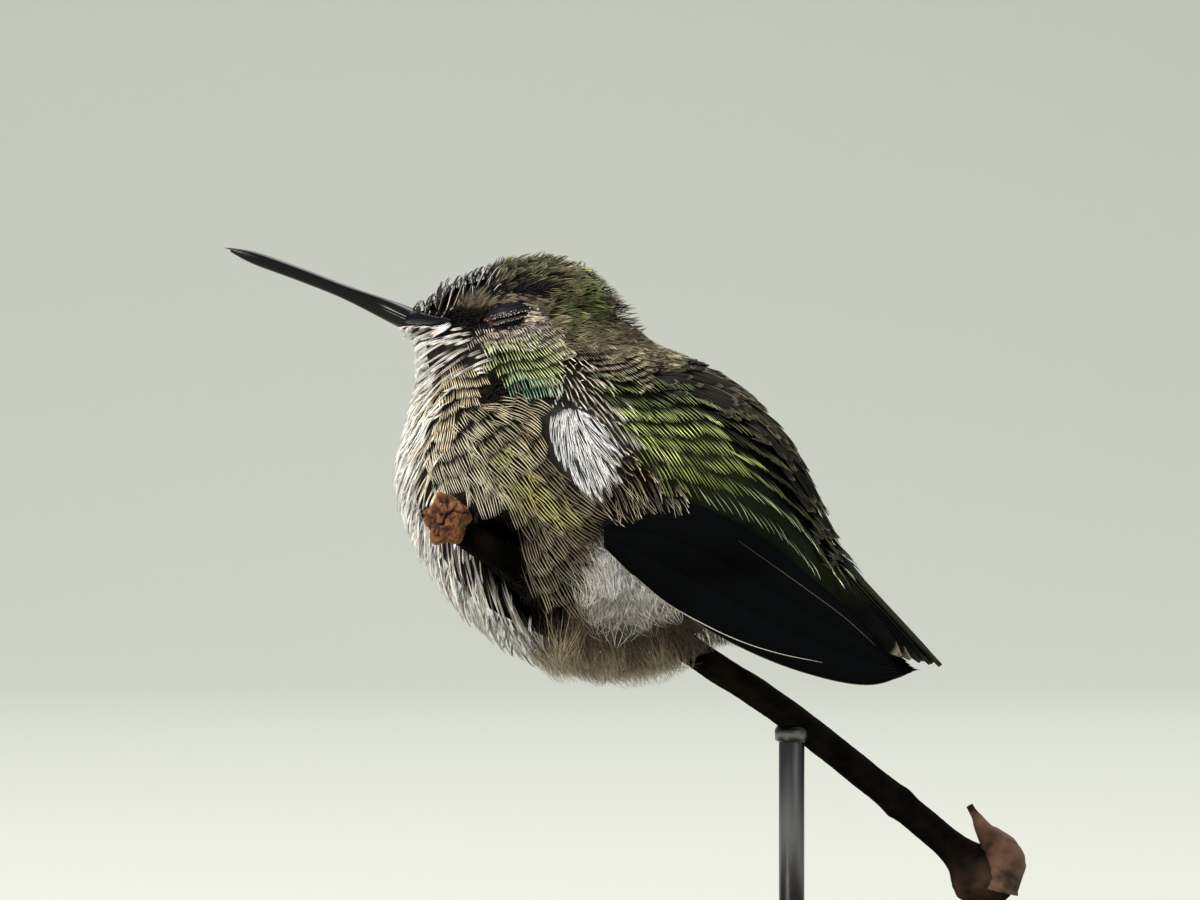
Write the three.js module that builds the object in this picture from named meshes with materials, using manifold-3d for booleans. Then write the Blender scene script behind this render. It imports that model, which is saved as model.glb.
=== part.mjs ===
// A life-size model of a sleeping female hummingbird, fluffed up on a cut twig, on a plain display stand.
// Millimetres, +Z up. The origin is the centre of the stand's underside. The bird faces -X, and its
// midplane is parallel to XZ; its left side faces -Y.
import * as THREE from "three";
import { ParametricGeometry } from "three/addons/geometries/ParametricGeometry.js";
import { mergeVertices } from "three/addons/utils/BufferGeometryUtils.js";
import Module from "manifold-3d";

const wasm = await Module();
wasm.setup();

// ---------------------------------------------------------------- driving sizes

const TRUNK_X = -10; // the middle of the round trunk, from the middle of the stand
const TRUNK_Y = -2;
const TRUNK_HEIGHT = 56;
const CUT = 0.3; // the thin gap where one named piece ends and the next begins
const PLUMAGE_BLEND = 3.2; // how softly the rounded masses of the plumage run together
const SURFACE_DETAIL = 7; // how finely the plumage's surface is divided
const HEAD_LINE = { height: 13.6, rise: 0.11 }; // the sloping plane where the head ends
const NECK_LINE = { height: 9.4, rise: 0.16 }; // and where the neck ends

const BILL_LENGTH = 18; // from the feathers of the forehead to the tip
const BILL_SLOPE = 21.5; // degrees that the bill points above the level
const BILL_DEPTH = 2.0; // at the feathers
const BILL_INSIDE = 3.6; // the part that lies between the feathers of the face
const EYE_RADIUS = 2.5;

const TAIL_LENGTH = 25;
const TAIL_SLOPE = 47; // degrees that the tail points below the level
const VANE = 0.55; // thickness of a flight feather's blade

const TWIG_RADIUS = 1.35;
const TOE_RADIUS = 0.38;
const LEFT_FOOT = 0.235; // along the twig
const RIGHT_FOOT = 0.325;

const BASE = { length: 84, width: 58, thickness: 7, corner: 3 };
// The moulded edge of the base, from its underside up: how far in each line lies, and its height.
const MOULDING = [
  [0.4, 0],
  [0, 0.4],
  [0, 3.0],
  [0.95, 3.5],
  [0.1, 4.8],
  [0, 5.8],
  [0.6, 6.7],
  [1.6, 7],
];
const ROD_RADIUS = 1.2;
const FRONT_ROD = 0.61; // along the twig
const REAR_ROD = 0.955;

// Rounded masses of the fluffed plumage, about the middle of the trunk. Each has a centre, half-lengths
// along, across and up, and the degrees that its rear end dips. Those with a side are one of a pair.
const masses = {
  breast: { at: [0.1, 0, 1.9], half: [14.6, 14.4, 12.6], dip: 0 },
  belly: { at: [2.9, 0, -6.9], half: [13.5, 12.2, 9.0], dip: 14 },
  mantle: { at: [11.5, 0, 2.0], half: [14.8, 12.0, 10.1], dip: 41 },
  rump: { at: [22.3, 0, -4.8], half: [11.8, 5.4, 3.6], dip: 49 },
  vent: { at: [15.5, 0, -8.4], half: [8.5, 5.6, 3.8], dip: 22 },
  skull: { at: [-1.2, 0, 15.1], half: [8.0, 6.9, 7.3], dip: 9 },
  forehead: { at: [-9.6, 0, 17.6], half: [5.1, 4.0, 1.7], dip: -21 },
  throat: { at: [-8.8, 0, 11.2], half: [3.8, 5.6, 5.2], dip: 0 },
  nape: { at: [3.7, 0, 12.6], half: [4.5, 5.8, 3.3], dip: 30 },
  cheek: { at: [-5.2, 3.8, 13.6], half: [6.0, 3.4, 4.0], dip: 0, side: true },
  brow: { at: [-4.4, 3.9, 18.4], half: [5.0, 1.9, 1.4], dip: 4, side: true },
  shoulder: { at: [1.5, 7.4, 6.4], half: [7.5, 5.2, 5.6], dip: 30, side: true },
  flank: { at: [1.6, 8.8, -2.4], half: [8.2, 5.8, 8.8], dip: 0, side: true },
};

// ---------------------------------------------------------------- solids and meshes

// A closed geometry as a solid that can be cut and joined. Collapsed triangles at poles are dropped.
function solid(geometry) {
  const bare = geometry.clone();
  for (const name of Object.keys(bare.attributes)) {
    if (name !== "position") bare.deleteAttribute(name);
  }
  const merged = mergeVertices(bare, 1e-4);
  const index = merged.index.array;
  const kept = [];
  for (let i = 0; i < index.length; i += 3) {
    const [a, b, c] = [index[i], index[i + 1], index[i + 2]];
    if (a !== b && b !== c && c !== a) kept.push(a, b, c);
  }
  const made = new wasm.Manifold(
    new wasm.Mesh({
      numProp: 3,
      vertProperties: new Float32Array(merged.attributes.position.array),
      triVerts: new Uint32Array(kept),
    }),
  );
  if (made.volume() >= 0) return made;
  for (let i = 0; i < kept.length; i += 3) [kept[i], kept[i + 1]] = [kept[i + 1], kept[i]];
  return new wasm.Manifold(
    new wasm.Mesh({
      numProp: 3,
      vertProperties: new Float32Array(merged.attributes.position.array),
      triVerts: new Uint32Array(kept),
    }),
  );
}

function union(solids) {
  return solids.reduce((all, one) => all.add(one));
}

function geometryOf(made) {
  const mesh = made.getMesh();
  const geometry = new THREE.BufferGeometry();
  geometry.setAttribute("position", new THREE.BufferAttribute(new Float32Array(mesh.vertProperties), 3));
  geometry.setIndex(new THREE.BufferAttribute(new Uint32Array(mesh.triVerts), 1));
  const flat = geometry.toNonIndexed();
  flat.computeVertexNormals();
  return flat;
}

// The largest piece of a solid: slivers that a cut leaves behind are dropped.
function mainPiece(made) {
  return made.decompose().reduce((big, one) => (one.volume() > big.volume() ? one : big));
}

// A closed body swept along u from 0 to 1, with v going once round it; both ends close to a point.
function swept(place, along, around) {
  return solid(
    new ParametricGeometry((u, v, target) => target.copy(place(u, v % 1)), along, around),
  );
}

function ellipsoid(at, half, detail, spin = new THREE.Euler()) {
  const ball = new THREE.IcosahedronGeometry(1, detail);
  ball.scale(...half);
  ball.applyMatrix4(new THREE.Matrix4().makeRotationFromEuler(spin));
  ball.translate(...at);
  return ball;
}

function mirrored(geometry) {
  return geometry.clone().scale(1, -1, 1);
}

const radians = THREE.MathUtils.degToRad;
const lerp = THREE.MathUtils.lerp;
const smooth = THREE.MathUtils.smoothstep;

// A smooth curve through a few points, given as x, y, z.
function curve(points) {
  return new THREE.CatmullRomCurve3(
    points.map((p) => new THREE.Vector3(...p)),
    false,
    "centripetal",
  );
}

// ---------------------------------------------------------------- the plumage as one soft form

function distanceToMass(mass, x, y, z) {
  const [cx, cy, cz] = mass.at;
  const angle = radians(mass.dip);
  const dx = x - cx;
  const dz = z - cz;
  const along = dx * Math.cos(angle) - dz * Math.sin(angle);
  const up = dx * Math.sin(angle) + dz * Math.cos(angle);
  const across = (mass.side ? Math.abs(y) : y) - cy;
  const [a, b, c] = mass.half;
  const far = Math.hypot(along / a, across / b, up / c);
  const steep = Math.hypot(along / a ** 2, across / b ** 2, up / c ** 2);
  return steep < 1e-9 ? -Math.min(a, b, c) : (far * (far - 1)) / steep;
}

// Below 0 inside the plumage and above 0 outside, roughly in millimetres.
function plumage(x, y, z) {
  let least = Infinity;
  for (const mass of Object.values(masses)) {
    const d = distanceToMass(mass, x, y, z);
    if (least === Infinity) {
      least = d;
      continue;
    }
    const h = Math.max(PLUMAGE_BLEND - Math.abs(least - d), 0) / PLUMAGE_BLEND;
    least = Math.min(least, d) - (h * h * PLUMAGE_BLEND) / 4;
  }
  return least;
}

// The distance from a point inside the plumage to its surface along a direction, up to a limit.
function reachTo(from, direction, limit) {
  const at = (t) =>
    plumage(from.x + direction.x * t, from.y + direction.y * t, from.z + direction.z * t);
  let low = 0;
  let high = 0.5;
  while (high < limit && at(high) < 0) {
    low = high;
    high += 0.5;
  }
  if (high >= limit) return limit;
  for (let i = 0; i < 20; i++) {
    const middle = (low + high) / 2;
    if (at(middle) < 0) low = middle;
    else high = middle;
  }
  return (low + high) / 2;
}

// The surface of the plumage as seen from a point inside it.
function plumageSurface(from, detail, limit) {
  const ball = new THREE.IcosahedronGeometry(1, detail);
  const points = ball.attributes.position;
  const direction = new THREE.Vector3();
  for (let i = 0; i < points.count; i++) {
    direction.fromBufferAttribute(points, i).normalize();
    const far = reachTo(from, direction, limit);
    points.setXYZ(
      i,
      from.x + direction.x * far,
      from.y + direction.y * far,
      from.z + direction.z * far,
    );
  }
  return solid(ball);
}

// Half the plumage's width at a place in the side view, 0 outside it.
function halfWidth(x, z) {
  if (plumage(x, 0, z) > 0) return 0;
  return reachTo(new THREE.Vector3(x, 0, z), new THREE.Vector3(0, 1, 0), 30);
}

// Everything above a sloping plane: its height at x = 0, and its rise for each millimetre of x.
function above(height, rise) {
  const block = new THREE.BoxGeometry(200, 200, 200);
  block.translate(0, 0, 100);
  block.applyMatrix4(new THREE.Matrix4().makeRotationY(-Math.atan(rise)));
  block.translate(0, 0, height);
  return solid(block);
}

const headMiddle = new THREE.Vector3(-3, 0, 15.5);
const trunkMiddle = new THREE.Vector3(4, 0, 0);

// ---------------------------------------------------------------- bill and eyes

const billAngle = radians(BILL_SLOPE);
const billRoot = new THREE.Vector3(-14.4, 0, 16.9); // where the bill leaves the feathers

// The bill's middle line, from inside the face at 0 to the tip at 1, with a slight downward arch.
function billLine(t) {
  const along = lerp(-BILL_INSIDE, BILL_LENGTH, t);
  const arch = 0.35 * Math.sin(Math.PI * t);
  return new THREE.Vector3(
    billRoot.x - along * Math.cos(billAngle) - arch * Math.sin(billAngle) * 0.5,
    0,
    billRoot.z + along * Math.sin(billAngle) + arch,
  );
}

function billHalfDepth(t) {
  const body = lerp(BILL_DEPTH / 2 + 0.15, 0.62, smooth(t, 0.05, 0.5));
  return body * Math.sqrt(Math.max(1 - smooth(t, 0.78, 1.0) ** 1.4, 0.0)) * smooth(t, -0.02, 0.06) ** 0.5;
}

function billHalfWidth(t) {
  const flare = lerp(2.3, 0.72, smooth(t, 0.0, 0.3));
  return flare * Math.sqrt(Math.max(1 - smooth(t, 0.8, 1.0) ** 1.3, 0.0)) * smooth(t, -0.02, 0.06) ** 0.5;
}

// One mandible: rounded on its own side (1 above, -1 below) and nearly flat where the two meet.
function mandible(side, reach, grow = 0) {
  const gap = 0.05;
  return swept(
    (u, v) => {
      const t = u * reach;
      const middle = billLine(t);
      if (u === 0 || u === 1) return middle.add(new THREE.Vector3(0, 0, side * gap));
      const turn = v * 2 * Math.PI;
      const across = (billHalfWidth(t) + grow) * Math.cos(turn);
      const rise = Math.sin(turn);
      const out = rise > 0 ? gap + (billHalfDepth(t) - gap + grow) * rise : gap + grow * rise;
      return middle.add(new THREE.Vector3(0, across, 0)).addScaledVector(
        new THREE.Vector3(Math.sin(billAngle), 0, Math.cos(billAngle)),
        side * out,
      );
    },
    14,
    8,
  );
}

const eyeAt = { x: -3.4, y: 5.2, z: 16.7 };

// A closed eye: a low dome under its lids, longer than it is high.
function eye(grow = 0) {
  return solid(
    ellipsoid(
      [eyeAt.x, eyeAt.y, eyeAt.z],
      [EYE_RADIUS + 0.35 + grow, EYE_RADIUS - 0.2 + grow, EYE_RADIUS - 0.45 + grow],
      2,
      new THREE.Euler(0, radians(8), 0),
    ),
  );
}

// ---------------------------------------------------------------- wings

// The folded wing's edges in the side view: its leading edge below and its trailing edge above.
const leadingEdge = curve([
  [5.2, 0, -3.0],
  [10.4, 0, -8.2],
  [16.3, 0, -12.3],
  [23.7, 0, -15.6],
  [29.8, 0, -16.8],
  [33.6, 0, -15.7],
]);
const trailingEdge = curve([
  [5.4, 0, -2.6],
  [10.8, 0, 0.4],
  [17.4, 0, -1.4],
  [23.0, 0, -5.6],
  [28.4, 0, -10.2],
  [33.6, 0, -15.7],
]);

const WING_COUNT = 5; // feathers that show in the folded wing
const WING_STEP = 0.17; // each lies that much further out than the one below it

// How far from the midplane the wing lies. It follows the body, then runs back beside the tail.
function wingOut(x, z) {
  const free = lerp(8.4, 4.2, smooth(x, 13, 34));
  const body = halfWidth(x, z) + 0.35;
  const tucked = lerp(-1.7, 0, smooth(x, 6, 12));
  const soft = 1.2;
  const h = Math.max(soft - Math.abs(free - body), 0) / soft;
  return Math.max(free, body) + (h * h * soft) / 4 + tucked;
}

// A place on the wing: s along it from its root to its tip, c across it from leading to trailing edge.
function wingPlace(s, c, out) {
  const low = leadingEdge.getPoint(s);
  const high = trailingEdge.getPoint(s);
  const x = lerp(low.x, high.x, c);
  const z = lerp(low.z, high.z, c);
  return new THREE.Vector3(x, -(wingOut(x, z) + out), z);
}

// A curved blade on the wing: its band across the wing, where along it starts and ends, its two faces,
// a margin in millimetres added to its band, and how blunt its edges are, from 1, an oval section,
// towards 0, a square one.
function wingBlade({ bottom, top, start, end, inner, outer, margin, blunt }, along, around) {
  const middle = (bottom + top) / 2;
  const squared = (share) => Math.sign(share) * Math.abs(share) ** blunt;
  return swept(
    (u, v) => {
      const s = lerp(start, end, u);
      if (u === 0 || u === 1) return wingPlace(s, middle, (inner + outer) / 2);
      const chord = leadingEdge.getPoint(s).distanceTo(trailingEdge.getPoint(s));
      const rounded = Math.sqrt(Math.max(1 - smooth(u, 0.78, 1) ** 2, 0));
      const half = ((top - bottom) / 2) * rounded + margin / chord;
      const turn = v * 2 * Math.PI;
      const out = lerp(inner, outer, (1 + squared(Math.sin(turn))) / 2);
      return wingPlace(s, middle - half * squared(Math.cos(turn)), out);
    },
    along,
    around,
  );
}

// The folded wing's flight feathers, counted from the leading edge. Inner ones end further forward.
function wing() {
  const feathers = [];
  for (let i = 0; i < WING_COUNT; i++) {
    const bottom = i / (WING_COUNT + 0.6);
    const band = {
      bottom,
      top: Math.min(bottom + 2.1 / WING_COUNT, 1),
      start: 0.05,
      end: 1 - 0.045 * i,
      inner: i * WING_STEP,
      outer: i * WING_STEP + VANE,
      margin: 0,
      blunt: 0.8,
    };
    feathers.push(wingBlade(band, 8, 6));
  }
  return union(feathers);
}

// The room that the wing needs in the plumage.
function wingRoom() {
  const band = {
    bottom: 0,
    top: 1,
    start: 0,
    end: 1,
    inner: -CUT - 0.4,
    outer: WING_COUNT * WING_STEP + VANE + CUT,
    margin: CUT + 0.3,
    blunt: 0.4,
  };
  return wingBlade(band, 14, 10);
}

// ---------------------------------------------------------------- tail

const tailTip = new THREE.Vector3(35.7, 0, -15.4);
const TAIL_PAIRS = 5;

// One tail feather's outline: narrow at its root and rounded at its end, lying along +X.
function rectrixOutline(length, width, grow) {
  const half = width / 2 + grow;
  const end = length + grow;
  const shape = new THREE.Shape();
  shape.moveTo(-grow, -half * 0.55);
  shape.quadraticCurveTo(length * 0.45, -half, end - half, -half);
  shape.quadraticCurveTo(end - half * 0.1, -half * 0.9, end, 0);
  shape.quadraticCurveTo(end - half * 0.1, half * 0.9, end - half, half);
  shape.quadraticCurveTo(length * 0.45, half, -grow, half * 0.55);
  return shape;
}

function rectrix(pair, side, grow = 0) {
  const shape = rectrixOutline(TAIL_LENGTH - 0.7 * pair, 3.3 + 0.1 * pair, grow);
  const blade = new THREE.ExtrudeGeometry(shape, {
    depth: VANE + 2 * grow,
    bevelEnabled: false,
    curveSegments: 2,
  });
  const droop = radians(3 + 8 * pair);
  blade.translate(0, 0, -grow - 0.26 * pair);
  blade.applyMatrix4(new THREE.Matrix4().makeRotationX(side * droop));
  blade.translate(0, 0, -1.5 * Math.sin(droop));
  blade.applyMatrix4(new THREE.Matrix4().makeRotationZ(radians(side * 1.5 * pair)));
  blade.translate(0, side * (0.6 + 0.12 * pair), 0);
  blade.applyMatrix4(new THREE.Matrix4().makeRotationY(radians(TAIL_SLOPE)));
  const root = tailTip.clone();
  root.x -= TAIL_LENGTH * Math.cos(radians(TAIL_SLOPE));
  root.z += TAIL_LENGTH * Math.sin(radians(TAIL_SLOPE));
  blade.translate(root.x, 0, root.z);
  return solid(blade);
}

function tail() {
  const feathers = [];
  for (let pair = 0; pair < TAIL_PAIRS; pair++) feathers.push(rectrix(pair, -1), rectrix(pair, 1));
  return union(feathers);
}

// The room that the tail needs in the plumage, from all its pairs.
function tailRoom() {
  const feathers = [];
  for (const pair of [0, 1, 2, 3, 4]) {
    feathers.push(rectrix(pair, -1, CUT + 0.15), rectrix(pair, 1, CUT + 0.15));
  }
  return union(feathers);
}

// ---------------------------------------------------------------- twig

const twigLine = curve([
  [-7.9, -15.9, -1.7],
  [-3.3, -13.5, -4.8],
  [1.6, -8.2, -7.3],
  [7.4, -2.2, -9.7],
  [13.0, 3.7, -14.5],
  [19.8, 8.3, -19.4],
  [26.7, 12.3, -25.2],
  [34.6, 16.5, -32.2],
  [37.6, 18.0, -35.2],
  [39.4, 19.0, -38.4],
]);

// The twig's frames along its line: two directions across it at each station.
const TWIG_STATIONS = 30;
const twigFrames = twigLine.computeFrenetFrames(TWIG_STATIONS, false);

function twigRadius(t) {
  const knuckle = 1.5 * Math.exp(-(((t - REAR_ROD) / 0.035) ** 2));
  const scar = 0.18 * Math.exp(-(((t - 0.8) / 0.012) ** 2));
  return TWIG_RADIUS * lerp(0.94, 1.06, t) + knuckle + scar;
}

function twig(grow = 0) {
  return swept(
    (u, v) => {
      const station = Math.round(u * TWIG_STATIONS);
      const middle = twigLine.getPointAt(u);
      if (station === 0 || station === TWIG_STATIONS) {
        const end = twigFrames.tangents[station].clone();
        return middle.addScaledVector(end, station === 0 ? -grow : grow);
      }
      const turn = v * 2 * Math.PI;
      const radius = twigRadius(u) + grow;
      return middle
        .addScaledVector(twigFrames.normals[station], radius * Math.cos(turn))
        .addScaledVector(twigFrames.binormals[station], radius * Math.sin(turn));
    },
    TWIG_STATIONS,
    8,
  );
}

// A dry, crumpled bud: a ball with a few folds.
function bud(at, half, folds, depth) {
  const ball = new THREE.IcosahedronGeometry(1, 2);
  const points = ball.attributes.position;
  const p = new THREE.Vector3();
  for (let i = 0; i < points.count; i++) {
    p.fromBufferAttribute(points, i).normalize();
    const turn = Math.atan2(p.z, p.x);
    const fold = 1 + depth * Math.sin(folds * turn + 2 * p.y) * (1 - p.y * p.y);
    points.setXYZ(i, at[0] + half[0] * p.x * fold, at[1] + half[1] * p.y, at[2] + half[2] * p.z * fold);
  }
  return solid(ball);
}

// The dry bud at the twig's thin end.
function tipBud() {
  return bud([-8.3, -16.2, -1.5], [2.2, 1.9, 2.5], 5, 0.1);
}

// The pointed bud scale on the knuckle at the twig's thick end.
function sideBud() {
  const line = curve([
    [39.6, 17.2, -37.0],
    [40.2, 17.4, -34.0],
    [38.4, 17.2, -31.2],
    [37.0, 17.0, -28.9],
  ]);
  return bar(line, (u) => lerp(2.0, 0.35, smooth(u, 0.25, 1)), 8, 7);
}

// The dark gap between the breast's and the flank's feathers, where the twig goes in.
function gapByTwig() {
  return solid(ellipsoid([-1.2, -13.2, -6.9], [4.6, 3.4, 3.0], 2, new THREE.Euler(0, radians(38), 0)));
}

// ---------------------------------------------------------------- legs

// A round bar along a curve, closed at both ends, with a radius that may change along it.
function bar(line, radius, steps, around) {
  const frames = line.computeFrenetFrames(steps, false);
  return swept(
    (u, v) => {
      const station = Math.round(u * steps);
      const middle = line.getPointAt(u);
      if (station === 0 || station === steps) return middle;
      const turn = v * 2 * Math.PI;
      return middle
        .addScaledVector(frames.normals[station], radius(u) * Math.cos(turn))
        .addScaledVector(frames.binormals[station], radius(u) * Math.sin(turn));
    },
    steps,
    around,
  );
}

// The directions about a place on the twig where a foot grips it.
function footing(t) {
  const middle = twigLine.getPointAt(t);
  const along = twigLine.getTangentAt(t);
  const up = new THREE.Vector3(0, 0, 1).addScaledVector(along, -along.z).normalize();
  const front = new THREE.Vector3().crossVectors(up, along).normalize();
  if (front.x > 0) front.negate();
  return { middle, along, up, front, grip: TWIG_RADIUS * 1.05 + CUT + TOE_RADIUS };
}

function shank(t, grow = 0) {
  const { middle, up, grip } = footing(t);
  const line = new THREE.CatmullRomCurve3([
    middle.clone().addScaledVector(up, grip - 0.1),
    middle.clone().addScaledVector(up, grip + 1.2),
    middle.clone().addScaledVector(up, grip + 3.0 + grow).add(new THREE.Vector3(0.5, 0, 0)),
  ]);
  return bar(line, () => TOE_RADIUS * 1.35 + grow, 5, 6);
}

// A leg: a short shank, with three toes over the front of the twig and one behind it.
function leg(t) {
  const { middle, along, up, front, grip } = footing(t);
  const toe = (side, spread, reach) => {
    const points = [];
    for (let i = 0; i <= 6; i++) {
      const turn = side * radians(lerp(-12, reach, i / 6));
      const point = middle.clone().addScaledVector(up, grip * Math.cos(turn));
      point.addScaledVector(front, grip * Math.sin(turn));
      points.push(point.addScaledVector(along, spread * smooth(i, 0, 3)));
    }
    const claw = (u) => lerp(1, 0.5, smooth(u, 0.75, 1));
    return bar(new THREE.CatmullRomCurve3(points), (u) => TOE_RADIUS * claw(u), 6, 5);
  };
  return union([shank(t), toe(1, -1.1, 150), toe(1, 0, 155), toe(1, 1.1, 150), toe(-1, 0, 135)]);
}

// The hollow in the belly's plumage round both feet, along the twig.
function footHollow() {
  const { middle, along, up } = footing((LEFT_FOOT + RIGHT_FOOT) / 2);
  const across = new THREE.Vector3().crossVectors(up, along);
  const ball = ellipsoid([0, 0, 0], [8.2, 3.5, 4.3], 2);
  ball.applyMatrix4(new THREE.Matrix4().makeBasis(along, across, up));
  middle.addScaledVector(up, -0.7);
  return solid(ball.translate(middle.x, middle.y, middle.z));
}

// ---------------------------------------------------------------- stand

function rod(t) {
  const top = twigLine.getPointAt(t);
  const floor = BASE.thickness - TRUNK_HEIGHT + CUT;
  const reach = top.z - floor;
  const post = new THREE.CylinderGeometry(ROD_RADIUS, ROD_RADIUS, reach, 20);
  post.rotateX(Math.PI / 2);
  post.translate(top.x, top.y, floor + reach / 2);
  return solid(post);
}

// The base: a slab with rounded corners, and a cove under the rounded top edge.
function plinth() {
  const steps = 3;
  const around = 4 * (steps + 1);
  const points = [];
  for (const [inset, height] of MOULDING) {
    const radius = BASE.corner - inset;
    for (let i = 0; i < around; i++) {
      const corner = Math.floor(i / (steps + 1));
      const turn = (corner + (i % (steps + 1)) / steps) * (Math.PI / 2);
      const sideX = corner === 0 || corner === 3 ? 1 : -1;
      const sideY = corner < 2 ? 1 : -1;
      points.push(
        sideX * (BASE.length / 2 - BASE.corner) + radius * Math.cos(turn),
        sideY * (BASE.width / 2 - BASE.corner) + radius * Math.sin(turn),
        height,
      );
    }
  }
  const rows = MOULDING.length;
  const faces = [];
  for (let row = 0; row + 1 < rows; row++) {
    for (let i = 0; i < around; i++) {
      const a = row * around + i;
      const b = row * around + ((i + 1) % around);
      faces.push(a, b, b + around, a, b + around, a + around);
    }
  }
  const lid = (rows - 1) * around;
  for (let i = 1; i + 1 < around; i++) faces.push(lid, lid + i, lid + i + 1, 0, i + 1, i);
  const geometry = new THREE.BufferGeometry();
  geometry.setAttribute("position", new THREE.Float32BufferAttribute(points, 3));
  geometry.setIndex(faces);
  return solid(geometry);
}

// ---------------------------------------------------------------- assembly

const finishes = {
  bill: { color: 0x151518, roughness: 0.4, metalness: 0 },
  eye: { color: 0x17130f, roughness: 0.5, metalness: 0 },
  crown: { color: 0x55553a, roughness: 0.8, metalness: 0 },
  nape: { color: 0x5d6440, roughness: 0.8, metalness: 0 },
  body: { color: 0x7d7a66, roughness: 0.85, metalness: 0 },
  wing: { color: 0x14151a, roughness: 0.55, metalness: 0 },
  tail: { color: 0x2b332c, roughness: 0.55, metalness: 0 },
  leg: { color: 0x1b1817, roughness: 0.6, metalness: 0 },
  bark: { color: 0x1d1714, roughness: 0.85, metalness: 0 },
  bud: { color: 0x8a5528, roughness: 0.85, metalness: 0 },
  stand: { color: 0x2a2420, roughness: 0.5, metalness: 0 },
  rod: { color: 0x8d8a84, roughness: 0.3, metalness: 1 },
};

const bird = new THREE.Group();
bird.position.set(TRUNK_X, TRUNK_Y, TRUNK_HEIGHT);
const model = new THREE.Group();
model.add(bird);

function addTo(group, name, geometry, finish) {
  const mesh = new THREE.Mesh(geometry, new THREE.MeshStandardMaterial(finishes[finish]));
  mesh.name = name;
  group.add(mesh);
}

function add(name, made, finish) {
  addTo(bird, name, geometryOf(made), finish);
}

const headAll = plumageSurface(headMiddle, SURFACE_DETAIL, 15);
const trunkAll = plumageSurface(trunkMiddle, SURFACE_DETAIL, 40);

const leftWing = wing();
const leftWingRoom = wingRoom();
const wingsRoom = leftWingRoom.add(solid(mirrored(geometryOf(leftWingRoom))));
const leftEye = eye();
const eyeRoom = eye(0.15);
const eyesRoom = eyeRoom.add(solid(mirrored(geometryOf(eyeRoom))));
const billRoom = mandible(1, 0.6, 0.15).add(mandible(-1, 0.6, 0.15));
const twigRoom = twig(CUT);
const tailAll = tail();

const head = headAll
  .intersect(above(HEAD_LINE.height + CUT / 2, HEAD_LINE.rise))
  .subtract(billRoom)
  .subtract(eyesRoom);
const neck = trunkAll
  .intersect(above(NECK_LINE.height + CUT / 2, NECK_LINE.rise))
  .subtract(above(HEAD_LINE.height - CUT / 2, HEAD_LINE.rise));
const trunk = trunkAll
  .subtract(above(NECK_LINE.height - CUT / 2, NECK_LINE.rise))
  .subtract(wingsRoom)
  .subtract(tailRoom())
  .subtract(twigRoom)
  .subtract(gapByTwig())
  .subtract(footHollow())
  .subtract(shank(LEFT_FOOT, CUT))
  .subtract(shank(RIGHT_FOOT, CUT));

add("head", mainPiece(head), "crown");
add("bill_upper", mandible(1, 1), "bill");
add("bill_lower", mandible(-1, 0.97), "bill");
add("eye_left", solid(mirrored(geometryOf(leftEye))), "eye");
add("eye_right", leftEye, "eye");
add("neck", mainPiece(neck), "nape");
add("trunk", mainPiece(trunk), "body");
add("wing_left", leftWing, "wing");
add("wing_right", solid(mirrored(geometryOf(leftWing))), "wing");
add("tail", tailAll, "tail");
add("leg_left", leg(LEFT_FOOT), "leg");
add("leg_right", leg(RIGHT_FOOT), "leg");

add("perch_twig", twig(), "bark");
add("perch_tip_bud", mainPiece(tipBud().subtract(twigRoom)), "bud");
add("perch_side_bud", mainPiece(sideBud().subtract(twigRoom)), "bud");
add("stand_rod_front", rod(FRONT_ROD).subtract(twigRoom), "rod");
add("stand_rod_rear", rod(REAR_ROD).subtract(twigRoom), "rod");

addTo(model, "stand_base", geometryOf(plinth()), "stand");

export default model;
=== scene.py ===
"""A life-size model of a dozing hummingbird on a cut twig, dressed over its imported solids.

Lengths are millimetres about the middle of the bird's trunk, with the bird facing -X and its left side
facing -Y; mesh() turns them into the row's metres.
"""

import collections
import itertools
import math

import bpy
import numpy as np
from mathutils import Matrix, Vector, kdtree
from mathutils.bvhtree import BVHTree


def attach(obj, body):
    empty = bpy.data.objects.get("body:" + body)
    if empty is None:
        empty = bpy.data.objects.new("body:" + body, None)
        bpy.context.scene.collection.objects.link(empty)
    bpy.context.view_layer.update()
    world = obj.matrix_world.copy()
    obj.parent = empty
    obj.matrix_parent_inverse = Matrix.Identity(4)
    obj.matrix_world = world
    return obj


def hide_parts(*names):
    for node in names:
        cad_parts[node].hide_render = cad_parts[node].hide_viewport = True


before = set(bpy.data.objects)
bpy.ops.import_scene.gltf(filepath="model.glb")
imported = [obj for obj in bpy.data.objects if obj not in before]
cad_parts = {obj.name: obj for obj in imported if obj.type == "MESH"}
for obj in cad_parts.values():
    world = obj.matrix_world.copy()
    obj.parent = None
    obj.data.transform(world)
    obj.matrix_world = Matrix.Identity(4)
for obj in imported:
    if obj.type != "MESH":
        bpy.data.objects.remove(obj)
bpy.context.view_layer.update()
TRUNK = np.array([-10.0, -2.0, 56.0])
FLOOR = -TRUNK[2]
VIEW = math.radians(8)
rng = np.random.default_rng(11)

# ---------------------------------------------------------------- small helpers


def smooth(x, low, high):
    t = np.clip((np.asarray(x, float) - low) / (high - low), 0, 1)
    return t * t * (3 - 2 * t)


def lerp(a, b, t):
    return a + (b - a) * t


def unit(v):
    return v / np.maximum(np.linalg.norm(v, axis=-1, keepdims=True), 1e-9)


def dot(a, b):
    return (a * b).sum(-1)


def bell(x, middle, width):
    """A smooth bump of height 1 about a middle."""
    return np.exp(-(((x - middle) / width) ** 2))


def circle(count):
    """Angles evenly once around."""
    return np.linspace(0, 2 * np.pi, count, endpoint=False)


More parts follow.
